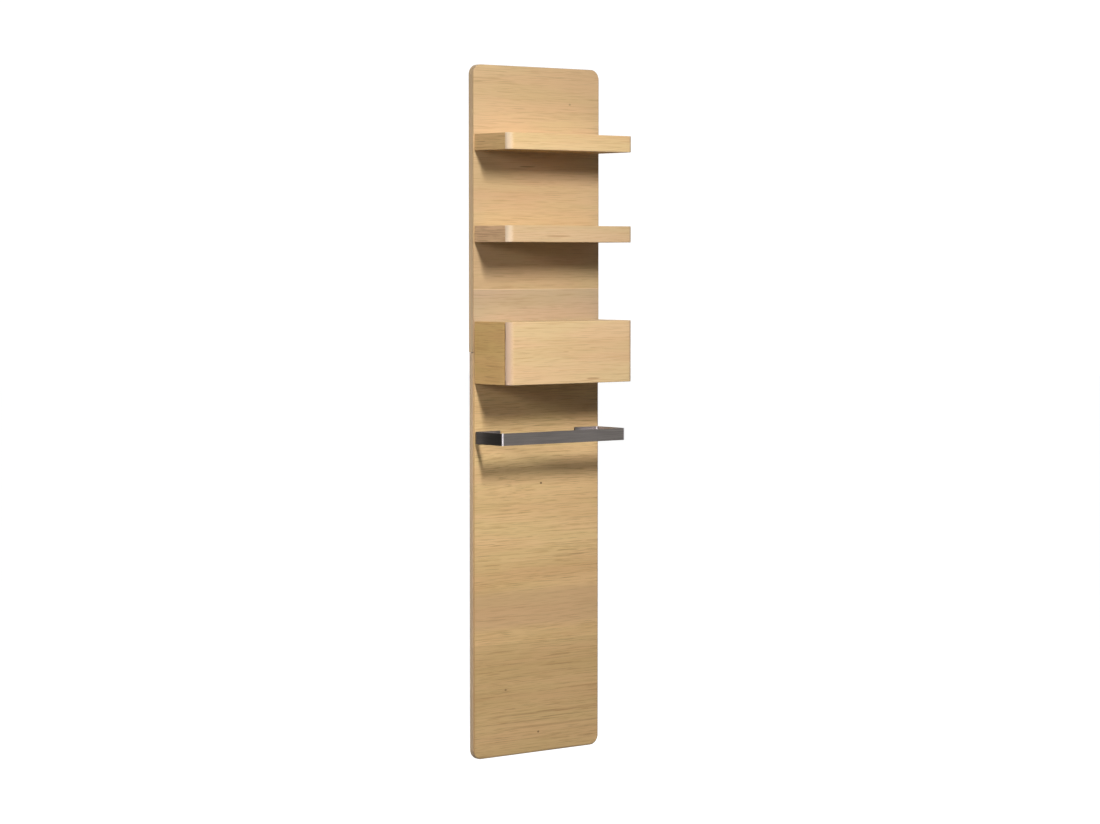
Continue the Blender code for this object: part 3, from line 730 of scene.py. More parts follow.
# The centre, reach, tone and strength of each mark.
UPPER_MARKS = (
    ((0.0, panel_front, LEAF_JOINT), (0.5, 0.004, 0.0011), PALE_LINE, 0.55),
    ((-0.03, panel_front, -0.1454), (0.032, 0.006, 0.0022), KNOT_TONE, 0.45),
)
LOWER_MARKS = (
    ((0.0, panel_front, -1.2375), (1.0, 0.006, 0.060), BAND_TONE, 0.45),
    ((0.02, panel_front, -1.500), (0.26, 0.006, 0.0030), BROWN_TONE, 0.30),
    ((-0.05, panel_front, -1.519), (0.22, 0.006, 0.0024), BROWN_TONE, 0.25),
    ((0.06, panel_front, -1.534), (0.20, 0.006, 0.0034), BROWN_TONE, 0.30),
)
print("knots:", len(KNOTS), "veneer leaves:", len(UPPER_LEAVES) + len(LOWER_LEAVES) + 2)

# %% Make the panel's oak
PANEL_CORNER = 0.025
EDGE_TONES = {"upper": srgb(194, 167, 135), "lower": srgb(184, 162, 141)}
EDGE_START = 0.0012
EDGE_FULL = 0.0002
EDGE_SHARE = 0.75
RIM_TONE = srgb(150, 116, 80)
RIM_INSET = 0.0008
# The last reach is longer than the panel, so that the line runs its whole height.
RIM_REACH = {"upper": (0.0016, 0.0016, 9.0), "lower": (0.0044, 0.0030, 9.0)}
RIM_SHARE = 0.6
SEAM_TONE = srgb(74, 54, 30)
SEAM_REACH = (0.0065, 0.0085, 0.0016)
SEAM_DEPTH = -0.0145
# Painted shade in the corner where each side of the box meets the panel.
BOX_SIDE_SHADE_TONE = srgb(162, 134, 98)
BOX_SIDE_SHADE_REACH = (0.0062, 0.004, 0.092)
SEAM_AND_BOX_SHADE_SHARE = 0.9

half_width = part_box("upper_panel")[1].x
body_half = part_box("drawer_front")[1].x
seam_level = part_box("lower_panel")[1].z
foot_level, top_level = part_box("lower_panel")[0].z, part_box("upper_panel")[1].z
panel_outline = ((half_width, (top_level - foot_level) / 2), (top_level + foot_level) / 2, PANEL_CORNER)


def panel_oak(length, tint, leaves, marks, seed):
    """Oak with the panel's knots, leaves and grey rim, a dark seam, and painted shade along each side of
    the box."""
    edges = [((x, panel_front, z), KNOT_REACH, KNOT_TONE, strength) for x, z, strength in KNOTS]
    rim = half_width - RIM_INSET
    for side in (-1, 1):
        edges += [
            ((side * rim, panel_front + RIM_INSET, 0.0), RIM_REACH[length], RIM_TONE, RIM_SHARE),
            ((side * half_width, SEAM_DEPTH, seam_level), SEAM_REACH, SEAM_TONE, SEAM_AND_BOX_SHADE_SHARE),
            # Painted shade where the box's side meets the panel; the seam's strength is shared.
            ((side * body_half, panel_front, seam_level), BOX_SIDE_SHADE_REACH, BOX_SIDE_SHADE_TONE, SEAM_AND_BOX_SHADE_SHARE),
        ]
    ends = (half_width - EDGE_START, half_width - EDGE_FULL, EDGE_TONES[length], EDGE_SHARE)
    return oak(f"oak_{length}_panel", times(PANEL_LIGHT, tint), times(PANEL_DARK, tint), "X", seed,
               PANEL_CONTRAST[length], spots=marks, leaves=leaves, ends=ends, outline=panel_outline,
               marks=edges, fine=PANEL_FINE)


upper_oak = panel_oak("upper", WHITE, UPPER_LEAVES, UPPER_MARKS, seed=(0.3, 0.1, 0.0))
lower_oak = panel_oak("lower", LOWER_TINT, LOWER_LEAVES, LOWER_MARKS, seed=(1.7, 0.4, 0.9))
print("panel materials:", upper_oak.name, lower_oak.name)

# %% Build the two lengths of the panel
UPPER_ARRIS = 0.0016
LOWER_ARRIS = 0.0046
SEAM_ARRIS = 0.0020


def build_panel(name, radii, arris, material):
    """One length of the panel. radii and arris are counted from the right the way round."""
    grid = board_grid(*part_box(name), "Y", radii, arris)
    return add_piece(f"{name}_oak", closed_mesh(name, grid), "column", material, (name,))


upper_radii = (PANEL_CORNER, PANEL_CORNER, SEAM_ARRIS, SEAM_ARRIS)
upper_arris = (UPPER_ARRIS, UPPER_ARRIS, UPPER_ARRIS, SEAM_ARRIS)
lower_radii = (SEAM_ARRIS, SEAM_ARRIS, PANEL_CORNER, PANEL_CORNER)
lower_arris = (LOWER_ARRIS, SEAM_ARRIS, LOWER_ARRIS, LOWER_ARRIS)
upper_panel = build_panel("upper_panel", upper_radii, upper_arris, upper_oak)
lower_panel = build_panel("lower_panel", lower_radii, lower_arris, lower_oak)
print("panel faces:", len(upper_panel.data.polygons), len(lower_panel.data.polygons))

# %% [markdown]
# ## The shelves' boards
# Each shelf is a hollow shell of boards round a hidden cleat. The front board's ends are rounded in plan,
# with a radius almost as large as the board is thick, and a crisp joint shows where the side board meets
# it. Side boards have their fibre running back to the wall, so they take their own oak, which is browner.

# %% Build the front boards
FRONT_CORNER = 0.015
BOARD_ARRIS = 0.0009
FRONT_ARRIS = 0.0014
FRONT_RADII = (FRONT_ARRIS, FRONT_ARRIS, FRONT_CORNER, FRONT_CORNER)
SHELF_LIGHT = srgb(247, 216, 170)
SHELF_DARK = srgb(216, 172, 120)
FRONT_CONTRAST = 0.75
# The seed of the pattern and the tint of each front board.
FRONT_OAKS = {
    "upper_shelf": ((0.9, 0.0, 2.2), (0.92, 0.90, 0.84)),
    "lower_shelf": ((2.1, 0.3, 4.1), (0.784, 0.772, 0.788)),
    "drawer": ((1.2, 0.8, 0.3), (0.852, 0.83, 0.811)),
}
PALE_END = srgb(222, 200, 175)
END_INSET = 0.002
END_SHARE = 0.8


def build_board(node, axis, radii, material, arris=BOARD_ARRIS):
    """A board with fine arrises that stands for a solid."""
    low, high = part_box(node)
    mesh = closed_mesh(node, board_grid(low, high, axis, radii, arris))
    return add_piece(f"{node}_oak", mesh, BODY_OF[node], material, (node,))


def build_front(board, spots=(), end_tone=PALE_END, marks=()):
    """The front board of a shelf or of the drawer, with another tone at its rounded ends."""
    seed, tint = FRONT_OAKS[board]
    ends = (body_half - FRONT_CORNER, body_half - END_INSET, end_tone, END_SHARE)
    wood = oak(f"oak_{board}_front", times(SHELF_LIGHT, tint), times(SHELF_DARK, tint), "X", seed,
               FRONT_CONTRAST, spots=spots, ends=ends, marks=marks)
    return build_board(f"{board}_front", "Z", FRONT_RADII, wood, FRONT_ARRIS)


STREAK_TONE = srgb(168, 120, 80)
front_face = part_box("drawer_front")[0].y
LOWER_STREAK = (((-0.044, front_face, -0.3168), (0.050, 0.006, 0.0022), STREAK_TONE, 0.55),)
build_front("upper_shelf")
build_front("lower_shelf", LOWER_STREAK)
print("front boards are", round(2 * body_half, 4), "m long")

# %% Close the shelves
TOP_TONES = (srgb(226, 200, 158), srgb(192, 156, 112))
# The bottom boards are a darker copy of the same oak: painted shade on the undersides of the shelves and
# the box.
SHADED_BOTTOM_TONES = (srgb(188, 156, 114), srgb(146, 112, 76))
# The light and dark tone, the seed and the contrast of each pair of side boards.
SIDE_OAKS = {
    "upper_shelf": (srgb(208, 173, 122), srgb(164, 125, 78), (0.2, 0.7, 1.3), 0.9),
    "lower_shelf": (srgb(210, 176, 136), srgb(149, 111, 79), (1.4, 0.1, 2.9), 1.1),
    "box": (srgb(207, 172, 115), srgb(165, 124, 74), (2.6, 1.9, 0.8), 0.9),
}


def side_oak(holder):
    """Oak of a shelf's or the box's side boards, whose fibre runs back to the wall."""
    light, dark, seed, contrast = SIDE_OAKS[holder]
    return oak(f"oak_{holder}_side", light, dark, "Y", seed, contrast)


top_oak = oak("oak_shelf_top", *TOP_TONES, "X", seed=(3.0, 1.0, 0.5), contrast=0.85)
# Painted shade: the undersides take the darker, duller copy.
shaded_bottom_oak = oak("oak_shelf_bottom_painted_shade", *SHADED_BOTTOM_TONES, "X", seed=(1.1, 2.2, 0.4), contrast=0.8, roughness=0.85,
                 shine=0.05)
for shelf in ("upper_shelf", "lower_shelf"):
    wood = side_oak(shelf)
    for side in ("left", "right"):
        build_board(f"{shelf}_{side}", "X", BOARD_ARRIS, wood)
    build_board(f"{shelf}_top", "Z", BOARD_ARRIS, top_oak)
    build_board(f"{shelf}_bottom", "Z", BOARD_ARRIS, shaded_bottom_oak)

# %% [markdown]
# ## The box and the drawer's front
# The box is four boards, open at the front. The drawer's front is a solid board with rounded ends as the
# shelves' fronts have, but its ends are pinker. It stands a few millimetres proud of the box's sides, which
# makes the dark upright gap, and spots of painted shade on the front's left end darken that gap further.
# Fingers reach a cove behind its lower edge. A boolean cuts the cove, and the result is kept as a mesh, so
# that nothing live is left on the piece.

# %% Build the drawer's front
PULL_WIDTH = 0.110
PULL_HEIGHT = 0.014
PULL_DEPTH = 0.009
PULL_CORNER = 0.004
CUT_OVERRUN = 0.010
PINK_END = srgb(192, 164, 145)
FRONT_STREAKS = (
    ((0.066, front_face, -0.6655), (0.026, 0.006, 0.0032), STREAK_TONE, 0.50),
    ((-0.02, front_face, -0.598), (0.012, 0.006, 0.0012), STREAK_TONE, 0.35),
)
# Painted shade in the gap between the drawer's front and the box's left side.
GAP_SHADE_TONE = srgb(104, 76, 48)
GAP_DEPTH = -0.1382
# The height, half length and strength of each spot of painted shade along the gap's edge.
GAP_SHADE_SPOTS = ((-0.555, 0.024, 0.50), (-0.6103, 0.003, 0.5), (-0.649, 0.005, 0.35), (-0.671, 0.010, 0.75))
GAP_SHADE_MARKS = [((-body_half, GAP_DEPTH, z), (0.004, 0.0019, reach), GAP_SHADE_TONE, strength)
             for z, reach, strength in GAP_SHADE_SPOTS]


def carve(piece, cutter_mesh):
    """Cut a closed mesh out of a piece and keep the result as plain mesh."""
    cutter = bpy.data.objects.new("cutter", cutter_mesh)
    bpy.context.scene.collection.objects.link(cutter)
    boolean = piece.modifiers.new("carve", "BOOLEAN")
    boolean.operation = "DIFFERENCE"
    boolean.solver = "EXACT"
    boolean.object = cutter
    shown = piece.evaluated_get(bpy.context.evaluated_depsgraph_get())
    result = bpy.data.meshes.new_from_object(shown)
    piece.modifiers.clear()
    piece.data = result
    result.shade_smooth()
    result.set_sharp_from_angle(angle=SMOOTH_LIMIT)
    bpy.data.objects.remove(cutter)
    return piece


drawer_front = build_front("drawer", FRONT_STREAKS, PINK_END, GAP_SHADE_MARKS)
front_low, front_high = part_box("drawer_front")
cove_low = (-PULL_WIDTH / 2, front_high.y - PULL_DEPTH, front_low.z - CUT_OVERRUN)
cove_high = (PULL_WIDTH / 2, front_high.y + CUT_OVERRUN, front_low.z + PULL_HEIGHT)
cove = board_grid(cove_low, cove_high, "Y", PULL_CORNER, PULL_CORNER / 4)
carve(drawer_front, closed_mesh("cove", cove))
print("drawer front faces:", len(drawer_front.data.polygons))

# %% Build the box
box_side = side_oak("box")
box_boards = [build_board(f"box_{side}_side", "X", BOARD_ARRIS, box_side) for side in ("left", "right")]
box_boards.append(build_board("box_top", "Z", BOARD_ARRIS, top_oak))
# The box's underside takes the same painted shade.
box_boards.append(build_board("box_bottom", "Z", BOARD_ARRIS, shaded_bottom_oak))
print("box boards:", [board.name for board in box_boards])

# %% [markdown]
# ## Steel
# The towel bar is flat steel with a dark satin finish. Brushing leaves long fine lines that follow the bar,
# so its noise is stretched along X on the front and along Y on the arms. Light is painted into the steel's
# colour in four places: a painted highlight along both front bends and in the folds where an arm meets its
# flange, a painted reflection on the arms' inner sides, and painted light on the flanges. Zinc on screws
# and plates is paler and more even, with small cloudy spots.

# %% Make steel
STEEL_SHADE = 0.78
BRUSH_START = 0.30
BRUSH_FULL = 0.72
BRUSH_MATT = 0.10
CLOUD_CELLS = 22.0
CLOUD_START = 0.45
CLOUD_FULL = 0.70
STEEL_RELIEF = (0.12, 0.0002)
UPRIGHT = (0.02, 0.02, 1.0)


def brushed_steel(name, tone, roughness, along, cloud, spread=0.0, painted_light=()):
    """Metal with fine brushed lines. along is the cells per metre on X, Y and Z, and spread is how much
    more the lines smear a reflection up and down than sideways. The spots in the last argument are painted
    highlights, reflections and light laid over the colour."""
    material, tree = new_material(name)
    place = object_place(tree)
    lines = pulled_noise(tree, place, along, detail=3.0, roughness=0.7)
    clouds = add_node(tree, "ShaderNodeTexNoise", Vector=place, Scale=CLOUD_CELLS, Detail=4.0,
                      Roughness=0.6)
    share = ramp(tree, lines, BRUSH_START, BRUSH_FULL)
    patch = ramp(tree, clouds.outputs["Fac"], CLOUD_START, CLOUD_FULL)
    dark = tuple(value * STEEL_SHADE for value in tone)
    colour = tinted(tree, blend_colour(tree, share, tone, dark), patch, cloud, dark)
    colour = add_spots(tree, place, colour, painted_light)
    gloss = calc(tree, "ADD", calc(tree, "MULTIPLY", share, BRUSH_MATT), roughness)
    smear = {}
    if spread:
        upright = add_node(tree, "ShaderNodeCombineXYZ", X=UPRIGHT[0], Y=UPRIGHT[1], Z=UPRIGHT[2])
        smear = {"Anisotropic": spread, "Tangent": upright.outputs[0]}
    return finish_surface(material, colour, gloss, (lines, *STEEL_RELIEF), Metallic=1.0, **smear)


ZINC_TONE = srgb(196, 196, 192)
zinc_steel = brushed_steel("zinc_steel", ZINC_TONE, roughness=0.30, along=(160.0, 160.0, 160.0), cloud=0.45)
print("zinc is", tuple(round(value, 2) for value in ZINC_TONE))

# %% Paint light onto the bar's steel
STRIP = 0.004
BAR_TONE = srgb(136, 130, 126)
# A painted highlight along each front bend of the bar.
BEND_HIGHLIGHT_TONE = srgb(192, 186, 190)
BEND_HIGHLIGHT_REACH = (0.0034, 0.0034, 1.0)
BEND_HIGHLIGHT_INWARD = 0.0030
BEND_HIGHLIGHT_BACK = 0.0012
# A painted reflection on each arm's inner side.
INNER_REFLECTION_TONE = srgb(226, 220, 220)
INNER_REFLECTION_REACH = (0.0030, 0.060, 1.0)
INNER_GAP = 0.0005
# Painted light on each flange.
FLANGE_LIGHT_TONE = srgb(149, 141, 141)
FLANGE_LIGHT_REACH = (0.044, 0.0030, 1.0)
FLANGE_INWARD = 0.030
# A painted highlight in each fold where an arm meets its flange.
FOLD_HIGHLIGHT_TONE = srgb(254, 247, 249)
FOLD_HIGHLIGHT_REACH = (0.0036, 0.027, 1.0)
FOLD_FORWARD = 0.018

bar_low, bar_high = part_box("towel_bar")
# Painted highlights, a painted reflection and painted light at both ends of the bar.
bar_painted_light = []
for end in (bar_low.x, bar_high.x):
    inward = -math.copysign(1.0, end)
    arm = end + inward * (STRIP + INNER_GAP)
    wall = bar_high.y - STRIP
    bar_painted_light += [
        ((arm, (bar_low.y + bar_high.y) / 2, bar_low.z), INNER_REFLECTION_REACH, INNER_REFLECTION_TONE, 1.0),
        ((end + inward * FLANGE_INWARD, wall, bar_low.z), FLANGE_LIGHT_REACH, FLANGE_LIGHT_TONE, 1.0),
        ((arm, wall - FOLD_FORWARD, bar_low.z), FOLD_HIGHLIGHT_REACH, FOLD_HIGHLIGHT_TONE, 1.0),
        ((end + inward * BEND_HIGHLIGHT_INWARD, bar_low.y + BEND_HIGHLIGHT_BACK, bar_low.z), BEND_HIGHLIGHT_REACH, BEND_HIGHLIGHT_TONE, 1.0),
    ]
bar_steel = brushed_steel("bar_steel", BAR_TONE, roughness=0.45, along=(9.0, 9.0, 900.0), cloud=0.25,
                          spread=1.0, painted_light=bar_painted_light)
print("worn places on the bar:", len(bar_painted_light))

# %% [markdown]
# ## The towel bar
# The bar is one strip of flat steel. Its path in plan starts on the panel, turns out to the front, crosses,
# and comes back the same way. The path is straight runs joined by quarter circles. A small rounded
# rectangle, the strip's section, is carried along it: each ring stands at a point of the path, spread along
# the path's own side direction and along Z. At the two sawn ends the section shrinks by a quarter circle.

# %% Path of the towel bar
STRIP_ARRIS = 0.0006
BEND = 0.004
FLANGE = 0.075
BEND_STEPS = 12


def bar_path():
    """Middle line in plan, and how much the section shrinks at each of its points. The left half is a run
    along the panel, a quarter circle (centre plus radius times cosine and sine), a run to the front, and
    another quarter circle. The right half mirrors it."""
    edge = bar_low.x + STRIP / 2
    back = bar_high.y - STRIP / 2
    front = bar_low.y + STRIP / 2
    turn = np.linspace(0.0, math.pi / 2, BEND_STEPS + 1)
    end_turn = np.linspace(0.0, math.pi / 2, ARRIS_STEPS + 1)
    tip = edge + FLANGE - STRIP_ARRIS * (1 - np.cos(end_turn))
    run = np.column_stack((tip, np.full_like(tip, back)))
    first = np.column_stack((edge + BEND - BEND * np.sin(turn), back - BEND + BEND * np.cos(turn)))
    second = np.column_stack((edge + BEND - BEND * np.cos(turn), front + BEND - BEND * np.sin(turn)))
    half = np.vstack((run, first, second))
    shrink = np.zeros(len(half))
    shrink[:len(tip)] = STRIP_ARRIS * (1 - np.sin(end_turn))
    mirrored = half[::-1] * (-1, 1)
    return np.vstack((half, mirrored)), np.concatenate((shrink, shrink[::-1]))


path, shrink = bar_path()
print("bar path points:", len(path))

# %% Carry the strip's section along the path


def path_sides(path):
    """Unit direction to the side of a path at each point, from the mean of the runs before and after."""
    step = np.diff(path, axis=0)
    step /= np.linalg.norm(step, axis=1)[:, None]
    heading = np.vstack((step[:1], step[:-1] + step[1:], step[-1:]))
    heading /= np.linalg.norm(heading, axis=1)[:, None]
    return np.column_stack((heading[:, 1], -heading[:, 0]))


def sweep_strip(path, shrink, half):
    """Rings of the section along the path: path point plus side times section x, and section y along Z.
    The section is a rounded rectangle that shrinks evenly by the ring's own amount."""
    inset = np.repeat(shrink[:, None], 4, axis=1)
    nothing = np.zeros_like(inset)
    radii = around_sides(STRIP_ARRIS)
    section, _ = ring_columns(half, radii, inset, nothing, nothing[:, 0], ARRIS_STEPS, STRIP_ARRIS)
    side = path_sides(path)[:, None, :]
    grid = np.zeros((*section.shape[:2], 3))
    grid[..., :2] = path[:, None, :] + section[..., :1] * side
    grid[..., 2] = section[..., 1] + (bar_low.z + bar_high.z) / 2
    return grid


strip = sweep_strip(path, shrink, (STRIP / 2, (bar_high.z - bar_low.z) / 2))
towel_bar = add_piece("towel_bar_steel", closed_mesh("towel_bar", strip), "column", bar_steel,
                      ("towel_bar",))
print("bar faces:", len(towel_bar.data.polygons))

# %% [markdown]
# ## Screws
# Every screw is a turned shape with a cross in its head and a thread on its shank. The surface is a grid
# of an angle and a step along the outline. On the head's face the depth follows a cross of two soft bars.
# On the shank the radius rises and falls with a triangle wave of the height plus the angle, which winds
# the ridge round the shank. The holes in the panels and in the bar are a plainer outline, a little wider.

# %% Shape a screw's head
CROSS_REACH = 0.62
CROSS_WIDTH = 0.17
CROSS_SOFT = 0.5
CROSS_DEPTH = 0.55


def smooth_step(value, low, high):
    """0 below low, 1 above high, and 3t^2 - 2t^3 between."""
    share = np.clip((value - low) / (high - low), 0.0, 1.0)
    return share * share * (3 - 2 * share)


def cross_depth(x, y, head):
    """Depth of the cross: the larger of two soft bars at right angles. Each is the product of one step down
    at its end and one at its side."""
    reach = head * CROSS_REACH
    width = head * CROSS_WIDTH
    soft = width * CROSS_SOFT
    ends = [1 - smooth_step(np.abs(value), reach - soft, reach) for value in (x, y)]
    sides = [1 - smooth_step(np.abs(value), width - soft, width) for value in (x, y)]
    return np.maximum(ends[0] * sides[1], ends[1] * sides[0])


print("the cross is", CROSS_DEPTH, "of the countersink's depth")

# %% Turn a screw
AROUND = 48
# The head's radius, the countersink's depth, the shank's radius and the thread's pitch.
SCREW_KINDS = {"long": (0.0040, 0.0026, 0.0021, 0.0020), "short": (0.0032, 0.0018, 0.0016, 0.0013)}
FACE_RINGS = 22
FACE_CORE = 0.02
FACE_RIM = 0.97
# Two rings that round the rim: the share of the head's radius, and the height.
RIM_RINGS = ((0.995, -0.00006), (1.0, -0.0002))
# Two rings at the countersink's foot: the share of the shank's radius, and how many radii below it.
NECK_RINGS = ((1.04, 0.0), (0.98, 0.3))
THREAD_CORE = 0.98
THREAD_DROP = 0.6
THREAD_END = 0.90
TURN_RINGS = 7
LEAST_RINGS = 8
GROOVE = 0.76
RIDGE = 0.48
# Two rings at the tip: the share of the shank's radius, and the share of the length.
TIP_RINGS = ((0.45, 0.97), (0.06, 1.0))


def screw_grid(length, kind):
    """Rings of a screw whose head's face is at the origin and looks along +Z."""
    head, sink, shank, pitch = SCREW_KINDS[kind]
    angle = np.linspace(0.0, math.tau, AROUND, endpoint=False)
    face = head * np.linspace(FACE_CORE, FACE_RIM, FACE_RINGS)
    rows = [(radius, 0.0) for radius in face]
    rows += [(head * share, height) for share, height in RIM_RINGS]
    rows += [(shank * share, -sink - shank * drop) for share, drop in NECK_RINGS]
    first = len(rows)
    thread_top = -sink - shank * THREAD_DROP
    thread_low = -length * THREAD_END
    steps = max(int((thread_top - thread_low) / pitch * TURN_RINGS), LEAST_RINGS)
    rows += [(shank * THREAD_CORE, height) for height in np.linspace(thread_top, thread_low, steps)]
    rows += [(shank * share, -length * reach) for share, reach in TIP_RINGS]
    profile = np.array(rows)
    radius = np.broadcast_to(profile[:, :1], (len(profile), AROUND)).copy()
    height = np.broadcast_to(profile[:, 1:], (len(profile), AROUND)).copy()
    wave = (height[first:first + steps] / pitch + angle / math.tau) % 1.0
    radius[first:first + steps] *= GROOVE + RIDGE * np.minimum(wave, 1 - wave)
    x = radius * np.cos(angle)
    y = radius * np.sin(angle)
    height[:FACE_RINGS] -= cross_depth(x[:FACE_RINGS], y[:FACE_RINGS], head) * sink * CROSS_DEPTH
    return np.stack((x, y, height), axis=-1)


print("screw grid:", screw_grid(0.030, "long").shape)

# %% Turn a screw's hole
HOLE_GAP = 0.00025


def hole_grid(length, kind):
    """Rings of the hole that a screw sits in, open well above its head."""
    head, sink, shank, _ = SCREW_KINDS[kind]
    angle = np.linspace(0.0, math.tau, AROUND, endpoint=False)
    rows = np.array([(head + HOLE_GAP, CUT_OVERRUN), (head + HOLE_GAP, -HOLE_GAP),
                     (shank + HOLE_GAP, -sink - HOLE_GAP), (shank + HOLE_GAP, -length - HOLE_GAP)])
    radius = rows[:, :1] * np.ones(AROUND)
    height = rows[:, 1:] * np.ones(AROUND)
    return np.stack((radius * np.cos(angle), radius * np.sin(angle), height), axis=-1)


print("hole grid:", hole_grid(0.030, "long").shape)

# %% Place the screws
LONG_SCREWS = ("box", "upper_shelf", "lower_shelf")


def screw_pose(node):
    """Where a screw's head is, the way it faces and its length, from its solid's box and the piece that it
    holds."""
    low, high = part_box(node)
    middle = (low + high) / 2
    if node.startswith("runner"):
        way = Vector((1, 0, 0)) if "left" in node else Vector((-1, 0, 0))
    elif node.startswith("bar"):
        way = Vector((0, -1, 0))
    elif node.startswith("drawer_stop"):
        way = Vector((0, 0, -1))
    else:
        way = Vector((0, 1, 0))
    reach = Vector([abs(value) for value in way]).dot(high - low)
    return middle + way * reach / 2, way, reach


def screw_mesh(name, node, shape):
    """A screw or its hole as a closed mesh, with its grid's +Z turned to the way that the screw faces."""
    head_place, way, length = screw_pose(node)
    kind = "long" if node.startswith(LONG_SCREWS) else "short"
    turn = np.array(way.to_track_quat("Z", "Y").to_matrix())
    return closed_mesh(name, shape(length, kind) @ turn.T + np.array(head_place))


SCREWS = sorted(node for node in frame["nodes"] if "screw" in node)
for node in SCREWS:
    mesh = screw_mesh(node, node, screw_grid)
    add_piece(f"{node}_zinc", mesh, "column", zinc_steel, (node,))
print("screws:", len(SCREWS))

# %% [markdown]
# ## Holes and beds
# The screws' holes are carved out of the panels and the bar, and so are the shallow beds of the steel
# plates and the pockets behind the keyholes. All the holes of a piece are one cutter: several closed
# shapes that don't touch may share a mesh.

# %% Shape the beds and pockets
PLATE_PLAY = 0.0003
BED_CORNER = 0.0006
POCKET_DEPTH = 0.009
POCKET_HALF_WIDTH = 0.006
POCKET_HALF_HEIGHT = 0.012


def joined_mesh(name, meshes):
    """Join closed meshes into one."""
    points = []
    faces = []
    for part in meshes:
        start = len(points)
        points += [tuple(vertex.co) for vertex in part.vertices]
        faces += [[start + corner for corner in face.vertices] for face in part.polygons]
    mesh = bpy.data.meshes.new(name)
    mesh.from_pydata(points, [], faces)
    return mesh


def plate_bed(node):
    """The shallow bed of a steel plate, open to the wall."""
    low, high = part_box(node)
    play = Vector((PLATE_PLAY,) * 3)
    top = Vector((high.x, high.y + CUT_OVERRUN, high.z)) + Vector((PLATE_PLAY, 0.0, PLATE_PLAY))
    return closed_mesh("bed", board_grid(low - play, top, "Y", BED_CORNER, BED_CORNER / 4))


def keyhole_pocket(node):
    """The pocket behind a keyhole, deep enough for a screw's head."""
    low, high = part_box(node)
    middle = (low + high) / 2
    half = Vector((POCKET_HALF_WIDTH, 0.0, POCKET_HALF_HEIGHT))
    bottom = Vector((middle.x, low.y - POCKET_DEPTH, middle.z)) - half
    top = Vector((middle.x, high.y + CUT_OVERRUN, middle.z)) + half
    return closed_mesh("pocket", board_grid(bottom, top, "Y", POCKET_HALF_WIDTH / 2, PLATE_PLAY))


PLATES = ("splice_plate", "hanger_plate_left", "hanger_plate_right")
print("plates let in:", PLATES)

# %% Carve the holes


def carve_screws(piece, *groups):
    """Carve the holes of the screws whose names start as a group says, one group after the other."""
    nodes = [node for group in groups for node in SCREWS if node.startswith(group)]
    carve(piece, joined_mesh("holes", [screw_mesh("hole", node, hole_grid) for node in nodes]))


carve(upper_panel, joined_mesh("beds", [plate_bed(plate) for plate in PLATES]))
carve(lower_panel, joined_mesh("beds", [plate_bed("splice_plate")]))
carve(upper_panel, joined_mesh("pockets", [keyhole_pocket(plate) for plate in PLATES[1:]]))
carve_screws(upper_panel, ("upper_shelf", "lower_shelf", "box_screw_top"), ("hanger", "splice_screw_upper"))
carve_screws(lower_panel, ("box_screw_bottom", "splice_screw_lower"), "bar")
carve_screws(towel_bar, "bar")
print("upper panel faces:", len(upper_panel.data.polygons), "lower:", len(lower_panel.data.polygons))

# %% [markdown]
# ## Inner woods
# The drawer's sides, back and bottom are birch plywood. Its thin veneers show as stripes on every sawn
# edge and not on the faces. A stripe pattern that only changes through the thickness does that by itself.
# Runners, cleats, dowels and the stop are beech, which is pinker than oak and has short fine flecks.

# %% Make plywood
PLY_LAYER = 0.0013
PLY_SOFT = 0.25
PLY_CELLS = (6.0, 160.0, 160.0)
PLY_STEP = (0.35, 0.75)
PLY_LIGHT = srgb(233, 207, 166)
PLY_DARK = srgb(214, 180, 132)
PLY_GLUE = srgb(150, 110, 72)
GLUE_SHARE = 0.30
PLY_RELIEF = (0.15, 0.0003)
PLANED = 0.55


def plywood(name, through, along):
    """Birch plywood. through picks the axis of its thickness, and along that of its fibre. The stripes are
    a sine of the place through the thickness."""
    material, tree = new_material(name)
    place = object_place(tree)
    parts = add_node(tree, "ShaderNodeSeparateXYZ", Vector=place).outputs
    wave = calc(tree, "SINE", calc(tree, "MULTIPLY", parts[through], math.pi / PLY_LAYER))
    stripe = ramp(tree, wave, -PLY_SOFT, PLY_SOFT)
    turned = add_node(tree, "ShaderNodeMapping", Vector=place, Rotation=GRAIN_TURN[along])
    grain = pulled_noise(tree, turned.outputs[0], PLY_CELLS, detail=4.0, roughness=0.55)
    colour = blend_colour(tree, ramp(tree, grain, *PLY_STEP), PLY_LIGHT, PLY_DARK)
    colour = blend_colour(tree, stripe, colour, blend_colour(tree, GLUE_SHARE, colour, PLY_GLUE))
    return finish_surface(material, colour, PLANED, (grain, *PLY_RELIEF))


print("plywood layers:", PLY_LAYER, "m thick")

# %% Make beech
BEECH_LIGHT = srgb(222, 182, 142)
BEECH_DARK = srgb(182, 134, 96)
BEECH_STEP = (0.50, 0.68)


def beech(name, along):
    """Planed beech with short flecks. along is the cells per metre on X, Y and Z."""
    material, tree = new_material(name)
    share = ramp(tree, pulled_noise(tree, object_place(tree), along, detail=2.0), *BEECH_STEP)
    return finish_surface(material, blend_colour(tree, share, BEECH_LIGHT, BEECH_DARK), PLANED)


print("beech is", tuple(round(value, 2) for value in BEECH_LIGHT))

# %% Dress the solids that stay


def dress(node, material):
    """Give a solid that stays its material."""
    solid = frame["nodes"][node]
    solid.data.materials.clear()
    solid.data.materials.append(material)


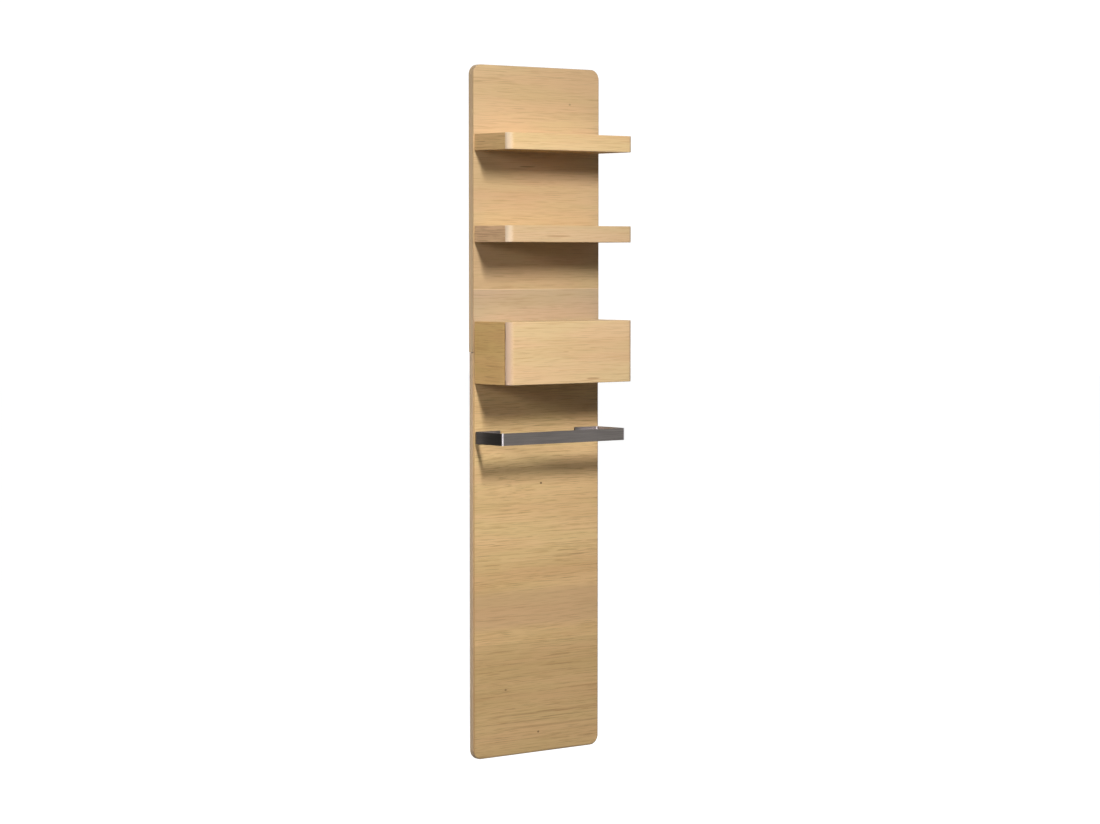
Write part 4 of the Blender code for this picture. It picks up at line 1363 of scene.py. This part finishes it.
inner_woods = (
    (plywood("ply_sides", "X", "Y"), ("drawer_left_side", "drawer_right_side")),
    (plywood("ply_back", "Y", "X"), ("drawer_back",)),
    (plywood("ply_bottom", "Z", "X"), ("drawer_bottom",)),
    (beech("beech_level", (60.0, 500.0, 500.0)), ("upper_shelf_cleat", "lower_shelf_cleat", "drawer_stop")),
    (beech("beech_deep", (500.0, 60.0, 500.0)), ("runner_left", "runner_right")),
    (beech("beech_upright", (500.0, 500.0, 60.0)), ("seam_dowel_left", "seam_dowel_right")),
    (zinc_steel, PLATES),
)
for material, nodes in inner_woods:
    for node in nodes:
        dress(node, material)
print("inner pieces dressed:", sum(len(nodes) for _, nodes in inner_woods))

# %% [markdown]
# ## Felt pads
# Two felt dots on the box's front edges meet the closed drawer and keep its gap. Each is a short round
# plug whose rim is soft: the radius follows a flattened circle, and a small wave roughens it.

# %% Press the felt pads
PAD_ROWS = 12
PAD_DOME = 0.98
RIPPLE = 0.012
RIPPLES = (11, 7)
WOOL_CELLS = 2600.0
WOOL_RELIEF = (0.8, 0.0006)
FELT_DARK = srgb(70, 60, 52)
FELT_PALE = srgb(118, 104, 92)
FELT_MATT = 0.95
FELT_SHEEN = 0.4


def felt_material():
    """Dark felt with a fine woolly bump."""
    material, tree = new_material("felt_dark")
    wool = add_node(tree, "ShaderNodeTexNoise", Vector=object_place(tree), Scale=WOOL_CELLS, Detail=4.0,
                    Roughness=0.7).outputs["Fac"]
    colour = blend_colour(tree, wool, FELT_DARK, FELT_PALE)
    return finish_surface(material, colour, FELT_MATT, (wool, *WOOL_RELIEF), Sheen_Weight=FELT_SHEEN)


def pad_grid(low, high):
    """Rings of a pad along Y: the radius is the fourth root of one minus the fourth power of the height."""
    centre = (np.array(low) + np.array(high)) / 2
    half = (np.array(high) - np.array(low)) / 2
    angle = np.linspace(0.0, math.tau, AROUND, endpoint=False)
    rise = np.sin(np.linspace(-1.0, 1.0, PAD_ROWS) * math.pi / 2 * PAD_DOME)
    radius = half[0] * (1 - rise ** 4) ** 0.25
    ripple = 1 - RIPPLE * (1 + np.sin(angle * RIPPLES[0]) * np.cos(angle * RIPPLES[1]))
    grid = np.zeros((PAD_ROWS, AROUND, 3))
    grid[..., 0] = centre[0] + radius[:, None] * ripple * np.cos(angle)
    grid[..., 1] = centre[1] + (half[1] * rise)[:, None]
    grid[..., 2] = centre[2] + radius[:, None] * ripple * np.sin(angle)
    return grid


felt = felt_material()
for side in ("left", "right"):
    node = f"felt_pad_{side}"
    add_piece(f"{node}_felt", closed_mesh(node, pad_grid(*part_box(node))), "column", felt, (node,))
print("pads:", 2)
